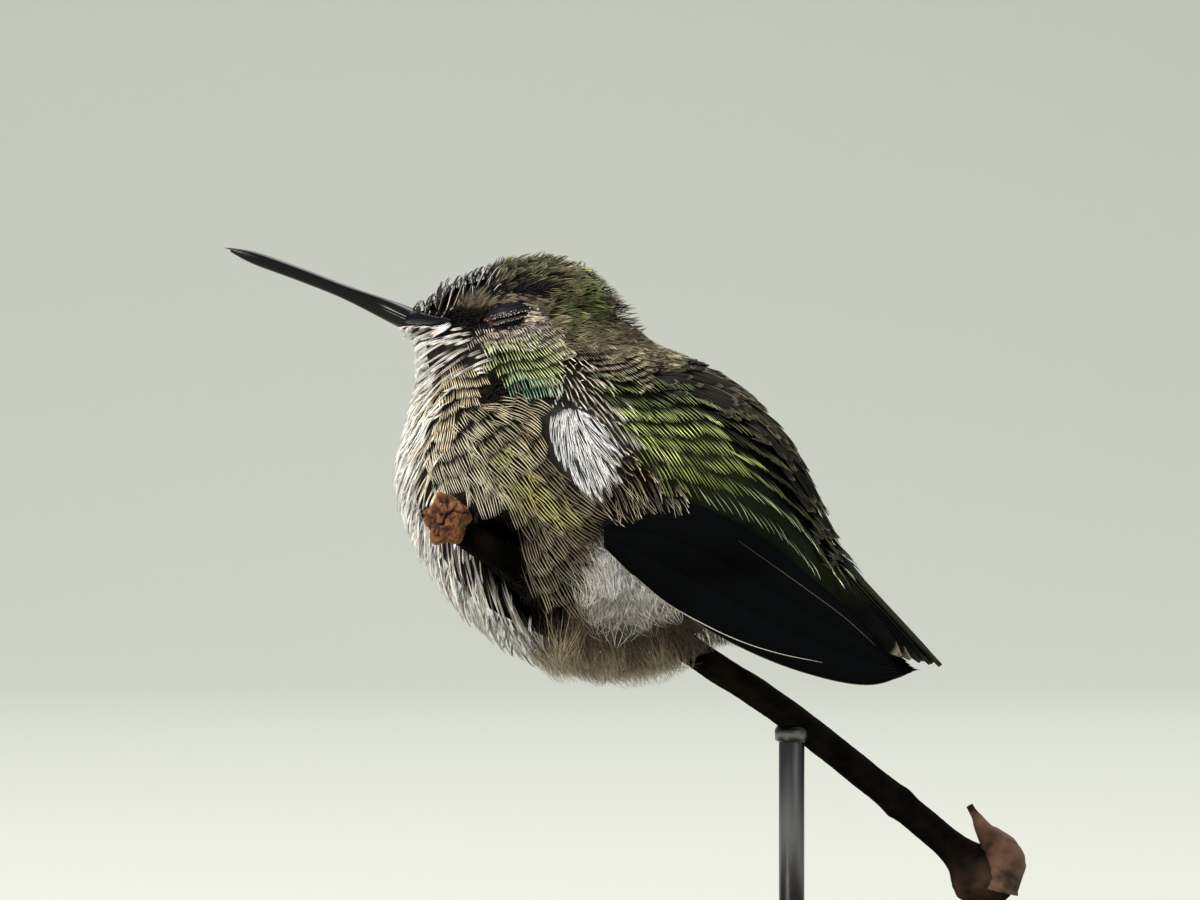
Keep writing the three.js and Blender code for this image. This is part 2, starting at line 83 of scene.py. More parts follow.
def turned(p, degrees, axis=1):
    """Points turned about X, Y or Z, which are axis 0, 1 and 2."""
    c, s = math.cos(math.radians(degrees)), math.sin(math.radians(degrees))
    i, j = (axis + 1) % 3, (axis + 2) % 3
    q = np.array(p, float)
    q[..., i], q[..., j] = p[..., i] * c - p[..., j] * s, p[..., i] * s + p[..., j] * c
    return q


class Curve:
    """A smooth centripetal curve through a few points, read at t from 0 to 1."""

    def __init__(self, points):
        p = np.array(points, float)
        self.p = np.vstack([2 * p[0] - p[1], p, 2 * p[-1] - p[-2]])

    def at(self, t):
        t = np.clip(np.asarray(t, float), 0, 1)
        spans = len(self.p) - 3
        i = np.minimum((t * spans).astype(int), spans - 1)
        w = (t * spans - i)[..., None]
        a, b, c, d = (self.p[i + k] for k in range(4))
        ab, bc, cd = (
            np.maximum(np.linalg.norm(v - u, axis=-1, keepdims=True) ** 0.5, 1e-4)
            for u, v in ((a, b), (b, c), (c, d))
        )
        m1 = ((b - a) / ab - (c - a) / (ab + bc) + (c - b) / bc) * bc
        m2 = ((c - b) / bc - (d - b) / (bc + cd) + (d - c) / cd) * bc
        return (
            b + m1 * w + (-3 * b + 3 * c - 2 * m1 - m2) * w**2 + (2 * b - 2 * c + m1 + m2) * w**3
        )

    def even(self, count):
        """The curve at equal steps of length."""
        fine = self.at(np.linspace(0, 1, 1001))
        run = np.concatenate([[0], np.cumsum(np.linalg.norm(np.diff(fine, axis=0), axis=1))])
        want = np.linspace(0, run[-1], count)
        return np.stack([np.interp(want, run, fine[:, k]) for k in range(fine.shape[1])], -1)


def put(name, data):
    """A new object in the scene."""
    made = bpy.data.objects.new(name, data)
    bpy.context.scene.collection.objects.link(made)
    return made


def aimed(name, data, place, towards):
    """A camera or lamp at a place in metres that looks in a direction."""
    made = put(name, data)
    made.location = place
    made.rotation_mode = "QUATERNION"
    made.rotation_quaternion = Vector(towards).to_track_quat("-Z", "Y")
    return made


def mesh(name, verts, faces, finish, slot, tint=None, node=(), uv=None):
    """A piece from closed parts in millimetres. Each array in faces has faces of one size; tint is one
    colour or a colour for each point; node names the solids that the piece stands for."""
    me = bpy.data.meshes.new(name)
    faces = [np.asarray(f, np.int32) for f in faces]
    loops = np.concatenate([f.ravel() for f in faces])
    sizes = np.concatenate([np.full(len(f), f.shape[1], np.int32) for f in faces])
    me.vertices.add(len(verts))
    me.vertices.foreach_set("co", ((verts + TRUNK) * 0.001).astype(np.float32).ravel())
    me.loops.add(len(loops))
    me.loops.foreach_set("vertex_index", loops)
    me.polygons.add(len(sizes))
    starts = np.concatenate([[0], np.cumsum(sizes)[:-1]]).astype(np.int32)
    me.polygons.foreach_set("loop_start", starts)
    me.polygons.foreach_set("use_smooth", np.ones(len(sizes), bool))
    me.update(calc_edges=True)
    if tint is not None:
        colour = np.ones((len(verts), 4), np.float32)
        colour[:, :3] = tint
        layer = me.color_attributes.new("tint", "FLOAT_COLOR", "POINT")
        layer.data.foreach_set("color", colour.ravel())
    if uv is not None:
        layer = me.uv_layers.new(name="OFBake", do_init=False)
        layer.uv.foreach_set("vector", uv[loops].astype(np.float32).ravel())
    me.materials.append(finish)
    made = put(name, me)
    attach(made, "root")
    if node:
        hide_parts(*node)
    return made


def pair(name, part, finish, slot, tint, stands_for):
    """The left and right pieces of a mirrored pair, made from the left one."""
    for side, (verts, faces) in (("left", part), ("right", mirrored(part))):
        mesh(name.format(side), verts, faces, finish, slot, tint, (stands_for.format(side),))


def join(parts):
    """Several (verts, faces) parts as one."""
    faces, start = {}, 0
    for verts, groups in parts:
        for g in groups:
            faces.setdefault(g.shape[1], []).append(g + start)
        start += len(verts)
    return np.concatenate([verts for verts, _ in parts]), [np.concatenate(g) for g in faces.values()]


def facing_out(verts, faces):
    """A closed mesh with its faces turned, where they have to be, so that all of them look out."""
    volume = 0
    for f in faces:
        a, b, c, d = (verts[f[:, k]] - verts.mean(0) for k in (0, 1, 2, -1))
        volume += dot(a, np.cross(b, c)).sum() + dot(a, np.cross(c, d)).sum()
    return verts, faces if volume > 0 else [f[:, ::-1] for f in faces]


def skinned(rings):
    """A closed body through rings of points, shape (stations, around, 3), fanned shut at both ends."""
    n, m, _ = rings.shape
    ends = np.stack([rings[0].mean(0), rings[-1].mean(0)])
    at = np.arange(n * m).reshape(n, m)
    nxt = np.roll(at, -1, axis=1)
    quads = np.stack([at[:-1], at[1:], nxt[1:], nxt[:-1]], -1).reshape(-1, 4)
    first = np.stack([np.full(m, n * m), at[0], nxt[0]], -1)
    last = np.stack([np.full(m, n * m + 1), nxt[-1], at[-1]], -1)
    return facing_out(np.vstack([rings.reshape(-1, 3), ends]), [quads, np.vstack([first, last])])


def frame_along(path, up, axis=0):
    """The directions to the side of a path and up from it."""
    t = unit(np.gradient(path, axis=axis))
    side = unit(np.cross(t, up))
    return side, np.cross(side, t)


def bar(path, radius, around=12, up=(0, 0, 1)):
    """A round bar along a path."""
    side, rise = frame_along(path, up)
    turn = circle(around)[None, :, None]
    r = np.broadcast_to(radius, len(path))[:, None, None]
    return skinned(path[:, None] + r * (np.cos(turn) * side[:, None] + np.sin(turn) * rise[:, None]))


def ellipsoid(at, half, detail, spin):
    """A smooth ellipsoid turned by spin degrees about Y."""
    u = np.linspace(0.03, np.pi - 0.03, detail)[:, None]
    v = circle(2 * detail)[None, :]
    p = np.stack([np.sin(u) * np.cos(v), np.sin(u) * np.sin(v), np.cos(u) + 0 * v], -1) * half
    return skinned(turned(p, spin)[::-1] + at)


def mirrored(part):
    verts, faces = part
    return verts * [1, -1, 1], [f[:, ::-1] for f in faces]


def plain(part, colour):
    """One colour for each point of a part."""
    return np.tile(colour, (len(part[0]), 1))


def with_ends(tint):
    """A skinned body's tints, from those of its rings."""
    return np.vstack([tint.reshape(-1, 3), tint[0, 0], tint[-1, 0]])


# ---------------------------------------------------------------- the plumage's outer form

# Rounded masses of the fluffed plumage: a centre, half-lengths along, across and up, and the degrees
# that the rear end dips. Those marked with a 1 are one of a pair.
MASSES = [
    ((0.1, 0, 1.9), (14.6, 14.4, 12.6), 0, 0),
    ((2.9, 0, -6.9), (13.5, 12.2, 9.0), 14, 0),
    ((11.5, 0, 2.0), (14.8, 12.0, 10.1), 41, 0),
    ((22.3, 0, -4.8), (11.8, 5.4, 3.6), 49, 0),
    ((15.5, 0, -8.4), (8.5, 5.6, 3.8), 22, 0),
    ((-1.2, 0, 15.1), (8.0, 6.9, 7.3), 9, 0),
    ((-9.6, 0, 17.6), (5.1, 4.0, 1.7), -21, 0),
    ((-8.8, 0, 11.2), (3.8, 5.6, 5.2), 0, 0),
    ((3.7, 0, 12.6), (4.5, 5.8, 3.3), 30, 0),
    ((-5.2, 3.8, 13.6), (6.0, 3.4, 4.0), 0, 1),
    ((-4.4, 3.9, 18.4), (5.0, 1.9, 1.4), 4, 1),
    ((1.5, 7.4, 6.4), (7.5, 5.2, 5.6), 30, 1),
    ((1.6, 8.8, -2.4), (8.2, 5.8, 8.8), 0, 1),
]
BLEND = 3.2


def plumage(p):
    """Below 0 inside the plumage's outer form and above 0 outside, roughly in millimetres."""
    least = None
    for at, half, dip, paired in MASSES:
        c, s = math.cos(math.radians(dip)), math.sin(math.radians(dip))
        dx, dz = p[..., 0] - at[0], p[..., 2] - at[2]
        across = (np.abs(p[..., 1]) if paired else p[..., 1]) - at[1]
        along, up = (dx * c - dz * s) / half[0], (dx * s + dz * c) / half[2]
        across = across / half[1]
        far = np.sqrt(along**2 + across**2 + up**2)
        steep = np.sqrt((along / half[0]) ** 2 + (across / half[1]) ** 2 + (up / half[2]) ** 2)
        d = np.where(steep < 1e-9, -min(half), far * (far - 1) / np.maximum(steep, 1e-9))
        if least is None:
            least = d
            continue
        h = np.maximum(BLEND - np.abs(least - d), 0) / BLEND
        least = np.minimum(least, d) - h * h * BLEND / 4
    return least


def slope(f, p, step=0.06):
    """The outward direction of a field at p."""
    out = []
    for k in range(3):
        e = np.zeros(3)
        e[k] = step
        out.append(f(p + e) - f(p - e))
    return unit(np.stack(out, -1))


def lay(p, height=0.0, rounds=2):
    """p moved to a height above the plumage's outer form, with the outward direction there."""
    for _ in range(rounds):
        n = slope(plumage, p)
        p = p + n * (height - plumage(p))[..., None]
    return p, slope(plumage, p)


def half_width(x, z):
    """Half the plumage's width at a place in the side view, 0 outside it."""
    x, z = np.broadcast_arrays(np.asarray(x, float), np.asarray(z, float))
    low, high = np.zeros(x.shape), np.full(x.shape, 20.0)
    for _ in range(18):
        mid = (low + high) / 2
        inside = plumage(np.stack([x, mid, z], -1)) < 0
        low, high = np.where(inside, mid, low), np.where(inside, high, mid)
    return np.where(plumage(np.stack([x, 0 * x, z], -1)) > 0, 0, (low + high) / 2)


def side_plane(p):
    """Where p shows in the photo's side view, in millimetres, with the right half mirrored to the left."""
    return np.stack([p[..., 0] * math.cos(VIEW) - np.abs(p[..., 1]) * math.sin(VIEW), p[..., 2]], -1)


def heading(p, n, angle):
    """The direction on the surface at p, with outward direction n, that shows at an angle in the photo."""
    side = np.where(p[..., 1] > 0, -1.0, 1.0)
    right = np.stack([np.full(side.shape, math.cos(VIEW)), math.sin(VIEW) * side, 0 * side], -1)
    look = np.stack([np.full(side.shape, -math.sin(VIEW)), math.cos(VIEW) * side, 0 * side], -1)
    d = right * np.cos(angle)[..., None] + np.array([0, 0, 1.0]) * np.sin(angle)[..., None]
    lean = np.clip(-dot(d, n) / np.minimum(dot(look, n), -0.2), -2.2, 2.2)
    d = d + look * lean[..., None]
    return unit(d - n * dot(d, n)[..., None])


# ---------------------------------------------------------------- wings, twig and bill as forms

LEADING = Curve([(5.2, -3.0), (10.4, -8.2), (16.3, -12.3), (23.7, -15.6), (29.8, -16.8), (33.6, -15.7)])
TRAILING = Curve([(5.4, -2.6), (10.8, 0.4), (17.4, -1.4), (23.0, -5.6), (28.4, -10.2), (33.6, -15.7)])
WING_OUTER = 1.3  # how far the folded wing's outermost face lies from its innermost


def wing_out(x, z):
    """How far from the midplane the wing's inner face lies."""
    free = lerp(8.4, 4.2, smooth(x, 13, 34))
    body = half_width(x, z) + 0.35
    h = np.maximum(1.2 - np.abs(free - body), 0) / 1.2
    return np.maximum(free, body) + h * h * 0.3 + lerp(-1.7, 0, smooth(x, 6, 12))


WING_EDGE = np.vstack([LEADING.at(np.linspace(0, 1, 40)), TRAILING.at(np.linspace(1, 0, 40))[1:-1]])


def wing_depth(x, z):
    """How far a place in the side view lies inside the wing's outline; below 0 outside it."""
    a, b = WING_EDGE, np.roll(WING_EDGE, -1, axis=0)
    q = np.stack([x, z], -1)[..., None, :]
    ab = b - a
    t = np.clip(dot(q - a, ab) / dot(ab, ab), 0, 1)
    near = np.linalg.norm(q - a - ab * t[..., None], axis=-1).min(-1)
    crosses = (a[:, 1] > z[..., None]) != (b[:, 1] > z[..., None])
    dz = np.where(np.abs(ab[:, 1]) < 1e-9, 1e-9, ab[:, 1])
    at = a[:, 0] + (z[..., None] - a[:, 1]) / dz * ab[:, 0]
    inside = (crosses & (x[..., None] < at)).sum(-1) % 2 == 1
    return np.where(inside, near, -near)


TWIG_STEPS = 240
TWIG_THICK = 1.35
TWIG_PATH = Curve([
    (-7.9, -15.9, -1.7), (-3.3, -13.5, -4.8), (1.6, -8.2, -7.3), (7.4, -2.2, -9.7), (13.0, 3.7, -14.5),
    (19.8, 8.3, -19.4), (26.7, 12.3, -25.2), (34.6, 16.5, -32.2), (37.6, 18.0, -35.2), (39.4, 19.0, -38.4),
]).even(TWIG_STEPS + 1)
TIP_BUD = (np.array([-8.3, -16.2, -1.5]), np.array([2.2, 1.9, 2.5]))  # its middle and half-lengths


def twig_radius(t):
    """The twig's radius, with a scar and a knuckle near its far end."""
    return TWIG_THICK * lerp(0.94, 1.06, t) + 1.5 * bell(t, 0.955, 0.035) + 0.18 * bell(t, 0.8, 0.012)


def from_twig(p):
    """The vector from the twig's middle line to p, and its length."""
    path = TWIG_PATH[:200:4]
    gap = p[..., None, :] - path
    far = np.linalg.norm(gap, axis=-1)
    near = far.argmin(-1)
    return np.take_along_axis(gap, near[..., None, None], -2)[..., 0, :], far.min(-1)


BILL_ROOT = np.array([-14.4, 0, 16.9])
BILL_ANGLE = math.radians(21.5)
BILL_UP = np.array([math.sin(BILL_ANGLE), 0, math.cos(BILL_ANGLE)])


def bill_line(t):
    """The bill's middle line from its hidden root (t = 0) to its tip, gently arched."""
    along, arch = lerp(-3.6, 18.0, t), 0.35 * np.sin(np.pi * t)
    x = BILL_ROOT[0] - along * math.cos(BILL_ANGLE) - arch * math.sin(BILL_ANGLE) * 0.5
    return np.stack([x, 0 * x, BILL_ROOT[2] + along * math.sin(BILL_ANGLE) + arch], -1)


def bill_half(t, base, end, low, high, power):
    """Half the bill's width or depth, which narrows from base to end and closes at both ends."""
    body = lerp(base, end, smooth(t, low, high))
    tip = np.sqrt(np.maximum(1 - smooth(t, 0.79, 1.0) ** power, 0))
    return body * tip * smooth(t, -0.02, 0.06) ** 0.5


def bill_wide(t):
    return bill_half(t, 2.3, 0.72, 0.0, 0.3, 1.3)


# ---------------------------------------------------------------- materials


def material(name, colour=(0.5, 0.5, 0.5), rough=0.6, metal=0.0, **sockets):
    """A material with its shader and node tree; a socket's name has _ for each space."""
    made = bpy.data.materials.new(name)
    made.use_nodes = True
    shader = made.node_tree.nodes["Principled BSDF"]
    shader.inputs["Base Color"].default_value = (*colour, 1)
    shader.inputs["Roughness"].default_value = rough
    shader.inputs["Metallic"].default_value = metal
    for socket, value in sockets.items():
        shader.inputs[socket.replace("_", " ")].default_value = value
    return made, shader, made.node_tree


def node(tree, kind, **values):
    """A new shader node with its sockets or settings given by name."""
    made = tree.nodes.new("ShaderNode" + kind)
    for key, value in values.items():
        if key in made.inputs:
            made.inputs[key].default_value = value
        else:
            setattr(made, key, value)
    return made


def noise(tree, scale, detail=4.0, rough=0.6, stretch=None):
    """Noise over the row's own metres; stretch is a scale and a turn of them."""
    where = node(tree, "TexCoord").outputs["Object"]
    if stretch:
        move = node(tree, "Mapping", Scale=stretch[0], Rotation=stretch[1])
        tree.links.new(where, move.inputs["Vector"])
        where = move.outputs["Vector"]
    made = node(tree, "TexNoise", Scale=scale, Detail=detail, Roughness=rough)
    tree.links.new(where, made.inputs["Vector"])
    return made.outputs["Fac"]


def ramp(tree, source, *stops):
    """Colours picked by a source from (place, colour) stops."""
    made = node(tree, "ValToRGB")
    band = made.color_ramp
    while len(band.elements) < len(stops):
        band.elements.new(0.5)
    for element, (place, colour) in zip(band.elements, stops):
        element.position = place
        element.color = (*colour, 1)
    tree.links.new(source, made.inputs["Fac"])
    return made.outputs["Color"]


def mix(tree, factor, a, b, blend="MIX"):
    """Two colours mixed; each of factor, a and b is a socket or a value."""
    made = node(tree, "Mix", data_type="RGBA", blend_type=blend)
    for value, socket in ((factor, 0), (a, 6), (b, 7)):
        if isinstance(value, bpy.types.NodeSocket):
            tree.links.new(value, made.inputs[socket])
        else:
            made.inputs[socket].default_value = value if socket == 0 else (*value, 1)
    return made.outputs[2]


def bump(made, height, strength, distance):
    """Relief on a material, from a height socket."""
    tree = made.node_tree
    relief = node(tree, "Bump", Strength=strength, Distance=distance)
    tree.links.new(height, relief.inputs["Height"])
    tree.links.new(relief.outputs["Normal"], tree.nodes["Principled BSDF"].inputs["Normal"])


def tinted(name, rough, metal=0.0, mottle=0.0, **sockets):
    """A material whose colour is the mesh's own tint, a little uneven over the surface."""
    made, shader, tree = material(name, rough=rough, metal=metal, **sockets)
    own = node(tree, "Attribute", attribute_name="tint").outputs["Color"]
    if mottle:
        shade = ramp(tree, noise(tree, 900), (0.3, (1 - mottle,) * 3), (0.7, (1, 1, 1)))
        own = mix(tree, 1.0, own, shade, "MULTIPLY")
    tree.links.new(own, shader.inputs["Base Color"])
    return made


plume = tinted("plume", 0.65, mottle=0.12, Specular_IOR_Level=0.2)
sheen = tinted("plume_sheen", 0.4, metal=0.3, mottle=0.1, Specular_IOR_Level=0.3)
silk = tinted("plume_silk", 0.6, Specular_IOR_Level=0.3)
bare = tinted("plume_skin", 0.9, mottle=0.3, Specular_IOR_Level=0.0)

# ---------------------------------------------------------------- the lie of the coat

# How the plumage lies. Each region has its group, which its directions are blended with, its kind, its tint
# and places in the side view, as millimetres along and up, with the direction there in degrees above +X.
REGIONS = {
    "forehead": ("head", "ridge", "dark_edged", [
        (-13.2, 17.8, 50), (-12, 18.4, 54), (-10.9, 18.9, 62), (-10, 18.1, 72), (-9.4, 18.9, 68),
        (-9.5, 20.2, 58), (-8.3, 20.7, 54), (-7.9, 19.7, 62), (-6.9, 20.3, 54), (-6.9, 21.3, 48),
        (-5.5, 21.7, 42), (-5.3, 20.7, 38)]),
    "crown": ("head", "crown", "olive_dark", [
        (-3.7, 22.4, 32), (-4, 21.2, 28), (-2.3, 21.5, 18), (-0.9, 22, 12), (-3.2, 20.6, 18),
        (0.5, 21.1, 6), (1.9, 21.3, -2), (0.7, 20.1, 0), (2.3, 19.8, -4), (-1.1, 20.5, 4)]),
    "crown_green": ("head", "crown", "olive_green", [
        (3.6, 20.9, -6), (3.0, 19.4, -8), (4.4, 18.3, -14), (5.0, 17.2, -16), (2.2, 17.9, -6)]),
    "crown_rear": ("head", "crown", "olive", [
        (4.6, 20.0, -12), (4.6, 19.2, -14), (2.4, 18.7, -8), (0.9, 18.4, -4), (5.5, 18.1, -22),
        (0.5, 17.4, -4)]),
    "nape": ("head", "nape", "brown_tipped", [
        (5.8, 17.6, -20), (6.6, 17.0, -24), (7.4, 16.4, -28), (7.2, 17.2, -22), (6.0, 16.6, -22)]),
    # Painted shadow: a band of black feathers between the crown and the lid.
    "brow": ("head", "velvet", "black", [
        (-4.8, 19.6, 16), (-3.5, 19.6, 10), (-2.1, 19.6, 0), (-0.8, 19.4, -6), (0.5, 19.2, -6)]),
    "lid": ("lid", "lid", "brown", [
        (-8.2, 18.1, 62), (-7.3, 18.5, 54), (-6.3, 18.8, 34), (-5.0, 18.8, 4), (-3.9, 18.5, -14)]),
    "lid_rear": ("lid", "lid", "brown_pale", [(-2.9, 18.4, -20), (-1.7, 18.2, -18), (-0.6, 17.9, -14)]),
    "lores": ("head", "velvet", "black", [
        (-8.3, 17.3, 10), (-7.4, 17.0, 5), (-9.3, 17.1, 10), (-6.7, 16.4, 0), (-8.4, 16.6, 5),
        (-7.5, 16.3, 5), (-9.6, 16.6, 5), (-5.6, 16.2, 0), (-4.6, 16.3, 5), (-3.6, 16.5, 10)]),
    "behind": ("ear", "fine", "pink_white", [(-2.1, 17.1, -18), (-1.3, 17, -8)]),
    "ear": ("ear", "fine", "pink_brown", [
        (-5.3, 15.5, -18), (-3.9, 15.6, -12), (-2.4, 15.9, -8), (-0.9, 16.1, -4), (0.3, 16.2, -2)]),
    "nape_side": ("ear", "fine_long", "olive_grey", [
        (1.9, 16.2, 0), (4.2, 16.2, -8), (6, 15.3, -22), (4.2, 14.6, -12), (1.9, 14.8, -8),
        (7.9, 14.4, -22), (9.3, 13.7, -20), (6, 14.0, -14), (11.0, 12.9, -18)]),
    "cheek": ("patch", "comb_fine", "cheek_white", [
        (-5.8, 14.6, -62), (-4.6, 14.4, -62), (-3.2, 14.3, -58), (-1.6, 14.7, -54), (-6.6, 13.9, -66),
        (0.2, 14.9, -50)]),
    "malar": ("malar", "lobe", "white", [(-9.7, 16.25, 23)]),
    "throat": ("front", "streak", "white_grey", [
        (-14.7, 15, -118), (-14, 13.7, -126), (-12.5, 13.9, -140), (-12.4, 15.3, -146), (-10.4, 15.6, -152),
        (-8.9, 15.3, -156), (-10.6, 14.3, -150), (-8.2, 14.6, -154), (-6.8, 13.2, -150),
        (-13.4, 11.9, -124), (-11.6, 12.2, -136), (-9.7, 12.5, -142), (-7.9, 12.0, -144),
        (-13.6, 9.6, -116), (-12.5, 9.7, -124), (-10.6, 10.2, -132), (-13.2, 7.9, -114),
        (-11.8, 7.9, -118)]),
    "cream": ("inner", "comb_small", "cream", [
        (-7.7, 10.7, -66), (-6.5, 10.2, -58), (-8.6, 8.9, -84), (-9.4, 7, -88), (-10, 5.4, -92),
        (-7.3, 9.4, -66)]),
    # Painted shadow: black feathers in the notch between the cream and the flank.
    "notch": ("inner", "velvet", "black", [
        (-5.6, 9.4, -60), (-6.0, 8.8, -60), (-5.4, 10.2, -60), (-4.9, 9.1, -60)]),
    "patch": ("patch", "comb_small", "green_pale", [
        (-5.2, 12.6, -60), (-3.8, 12.6, -68), (-2.5, 12.7, -62), (-1.2, 12.8, -55), (0.1, 12.7, -49),
        (-3.8, 11.1, -68), (-1.4, 11.3, -60), (0.5, 11.3, -48)]),
    "fringe": ("fringe", "fringe", "black_white", [
        (1.6, 12.0, -66), (2.9, 11.6, -62), (1.3, 10.9, -74), (2.6, 10.4, -66), (0.9, 9.7, -82),
        (2.2, 9.5, -74), (3.6, 9.8, -64), (4.6, 8.6, -62), (5.6, 7.4, -62), (6.4, 6.2, -62),
        (6.9, 4.9, -64)]),
    "turquoise": ("patch", "comb_small", "turquoise", [
        (-3.2, 9.4, -72), (-1.9, 9.6, -70), (-0.8, 9.2, -76)]),
    # The breast's left edge is whiter than the breast within: partly its own white, partly painted light
    # where the key lamp falls.
    "breast_white": ("front", "lock_soft", "white_bright", [
        (-14.4, 6.5, -113), (-15.0, 3.7, -107), (-15.2, 0.9, -96), (-14.6, -1.9, -84), (-13.6, -4.6, -72),
        (-12.3, -7.6, -64), (-10.8, -9.9, -58), (-8.8, -11.9, -54), (-6.4, -13.6, -48)]),
    "breast": ("front", "lock", "white_tan", [
        (-12.9, 5, -112), (-13.3, 2, -104), (-12.8, -0.9, -90), (-11.8, -3.7, -80), (-10.6, -6.5, -74),
        (-9.0, -8.9, -68), (-7.0, -10.7, -62), (-5.1, -12.2, -56), (-2.7, -13.9, -50)]),
    "breast_tan": ("front", "lock", "tan", [(-11.6, 5.7, -100), (-11.2, 3.3, -96), (-11.2, 0.7, -98)]),
    "breast_inner": ("front", "lock", "dusky", [
        (-8.4, -4.8, -72), (-7.4, -6.8, -66), (-6.0, -8.6, -62), (-4.2, -10.2, -58), (-2.8, -12, -52),
        (-0.6, -14.3, -44)]),
    "flank_pale": ("flank", "comb", "flank_pale", [
        (-8.2, 7, -50), (-7.3, 5.7, -48), (-8.8, 4.3, -56), (-9.9, 2.8, -62), (-9.5, 1.1, -64),
        (-7.7, 2.2, -54), (-6.9, 0.6, -60), (-5.8, -0.3, -64), (-4.5, -1.0, -68)]),
    "flank_olive": ("flank", "comb", "flank_olive", [
        (-5.8, 7.4, -38), (-4.4, 6.5, -38), (-5.6, 4.8, -44), (-3.6, 4.6, -45), (-5.3, 2.6, -48),
        (-3.1, 2.4, -46), (-4, 0.7, -52)]),
    "flank_top": ("flank", "comb", "flank_tan", [
        (-5.5, 9, -8), (-3.8, 8.8, -14), (-2.1, 8.4, -24), (-0.8, 7.4, -42)]),
    "flank_gold": ("flank", "comb", "gold", [
        (-4, 3.3, -45), (-0.8, 0.4, -46), (0.3, -1.1, -44), (1.2, -2.4, -42), (-2.3, -0.7, -55)]),
    "flank_brown": ("flank", "comb", "flank_brown", [
        (-1.4, 5, -50), (-0.2, 2.6, -46), (1.2, 0.6, -44), (2.6, -0.9, -38), (3.6, -2.3, -30),
        (2.9, -4.0, -36)]),
    "flank_low": ("flank", "comb", "flank_low", [
        (-1.6, -2.8, -64), (-1.2, -4.4, -60), (-0.4, -6.0, -56), (0.4, -3.6, -48), (1.2, -4.8, -48),
        (1.6, -6.1, -48), (0.3, -7.6, -52), (2.8, -5.6, -46), (2.6, -7.4, -54), (-0.4, -8.6, -56),
        (1.2, -9.0, -56)]),
    # Painted shadow: sunk black feathers under the flank and around the twig, where the breast and flank
    # part.
    "gap": ("flank", "velvet_long", "black", [
        (-8.4, -1.2, -70), (-7.4, -2.6, -70), (-5.8, -2.4, -70), (-4.2, -3.0, -70), (-2.6, -4.4, -70),
        (-6.2, -4.8, -70), (-4.4, -5.0, -66), (-2.6, -6.2, -66), (-4.8, -7.0, -64), (-3.2, -7.8, -62),
        (-1.8, -8.2, -60), (-2.2, -10.0, -60), (-0.8, -11.4, -60), (0.8, -12.2, -60), (2.6, -12.6, -60),
        (6, -3.1, -40)]),
    "silk": ("silk", "silk", "silk_white", [
        (0.3, 7.3, -98), (1.5, 7.6, -84), (2.8, 7.0, -66), (4.0, 6.0, -54), (5.0, 4.8, -50),
        (0.9, 5.4, -88), (2.4, 5.0, -74), (1.5, 3.7, -84), (3.3, 3.3, -72), (2.8, 2.1, -78),
        (4.4, 2.2, -66), (3.7, 0.9, -76)]),
    "silk_low": ("silk", "silk_end", "silk_grey", [
        (5.2, -0.2, -68), (6.9, 3.1, -62), (8.4, 2.1, -58), (9.8, 0.9, -56), (7.2, 0.4, -60),
        (11.2, 0.6, -54), (6.0, -1.6, -62), (8.8, -0.6, -58)]),
    "mantle": ("mantle", "shaft", "mantle", [
        (10.6, 12.4, -8), (13.2, 11.8, -22), (11.4, 10.9, -14), (14.3, 10.4, -26), (16.4, 9.8, -36),
        (9.4, 11.8, -2), (16.2, 8.2, -36)]),
    "mantle_front": ("back", "comb_fine", "mantle_pale", [
        (3.2, 13.3, -56), (5.3, 12.9, -54), (7.7, 12.7, -50), (4.4, 11.9, -56), (6.4, 11.4, -54),
        (8.4, 11.2, -50)]),
    "scapular": ("back", "back", "green_dark", [
        (5.2, 10.0, -50), (7, 8.7, -48), (7.2, 10.1, -48), (9.2, 8.1, -48), (9.6, 9.6, -46),
        (12.2, 8.4, -50), (14.2, 7.4, -54)]),
    "green": ("back", "back", "green", [
        (7.3, 6.3, -54), (9, 5.9, -50), (11.6, 5.9, -50), (14.5, 5.6, -54), (9.3, 3.3, -58),
        (11.2, 2.8, -56), (13.8, 4.0, -54), (12.9, 1.8, -58), (15.3, 1.4, -52), (10.5, 1.1, -58),
        (17.4, 2.6, -54)]),
    "blue_green": ("back", "back_low", "blue_green", [
        (18.8, 0.6, -54), (17.1, -1.6, -61), (19.7, -0.6, -53), (20.6, -1.4, -56), (14.6, -0.9, -52),
        (18.2, -3.0, -62), (20.6, -3.4, -62), (22.7, -3.4, -62), (23.4, -6.0, -66), (25.0, -7.2, -66),
        (26.4, -8.2, -64)]),
    "green_shade": ("back", "back", "green_shade", [
        (15.4, 7.0, -50), (17.2, 5.9, -54), (18.9, 4.1, -54), (20.4, 1.9, -54), (21.8, -0.2, -56),
        (23.2, -2.4, -62), (24.8, -4.6, -64)]),
    "back_dark": ("mantle", "shaft", "back_dark", [
        (18.4, 8.2, -48), (20.2, 5.8, -55), (21.9, 3.0, -60), (23.5, 0.2, -64), (24.8, -2.8, -64),
        (26.4, -5.6, -58)]),
    "rump": ("back", "rump", "rump", [
        (28.6, -11.0, -58), (29.8, -12.6, -52), (28.2, -8.6, -56), (29.6, -10.8, -52), (26.9, -6.4, -60)]),
    "down": ("down", "down", "down_white", [
        (6.6, -6.4, -70), (5.4, -7.6, -84), (6.8, -8.0, -78), (8.2, -8.8, -70)]),
    "down_low": ("down", "down", "down_dusky", [
        (5.0, -9.2, -96), (6.4, -10.0, -88), (8.0, -10.2, -76), (9.4, -10.0, -68)]),
    "wisps": ("down", "wisp", "down_white", [
        (3.6, -9.4, -118), (4.6, -10.9, -104), (6.2, -11.4, -92), (8.0, -11.0, -76), (9.4, -10.2, -66)]),
    "belly": ("belly", "fluff", "dusky_down", [
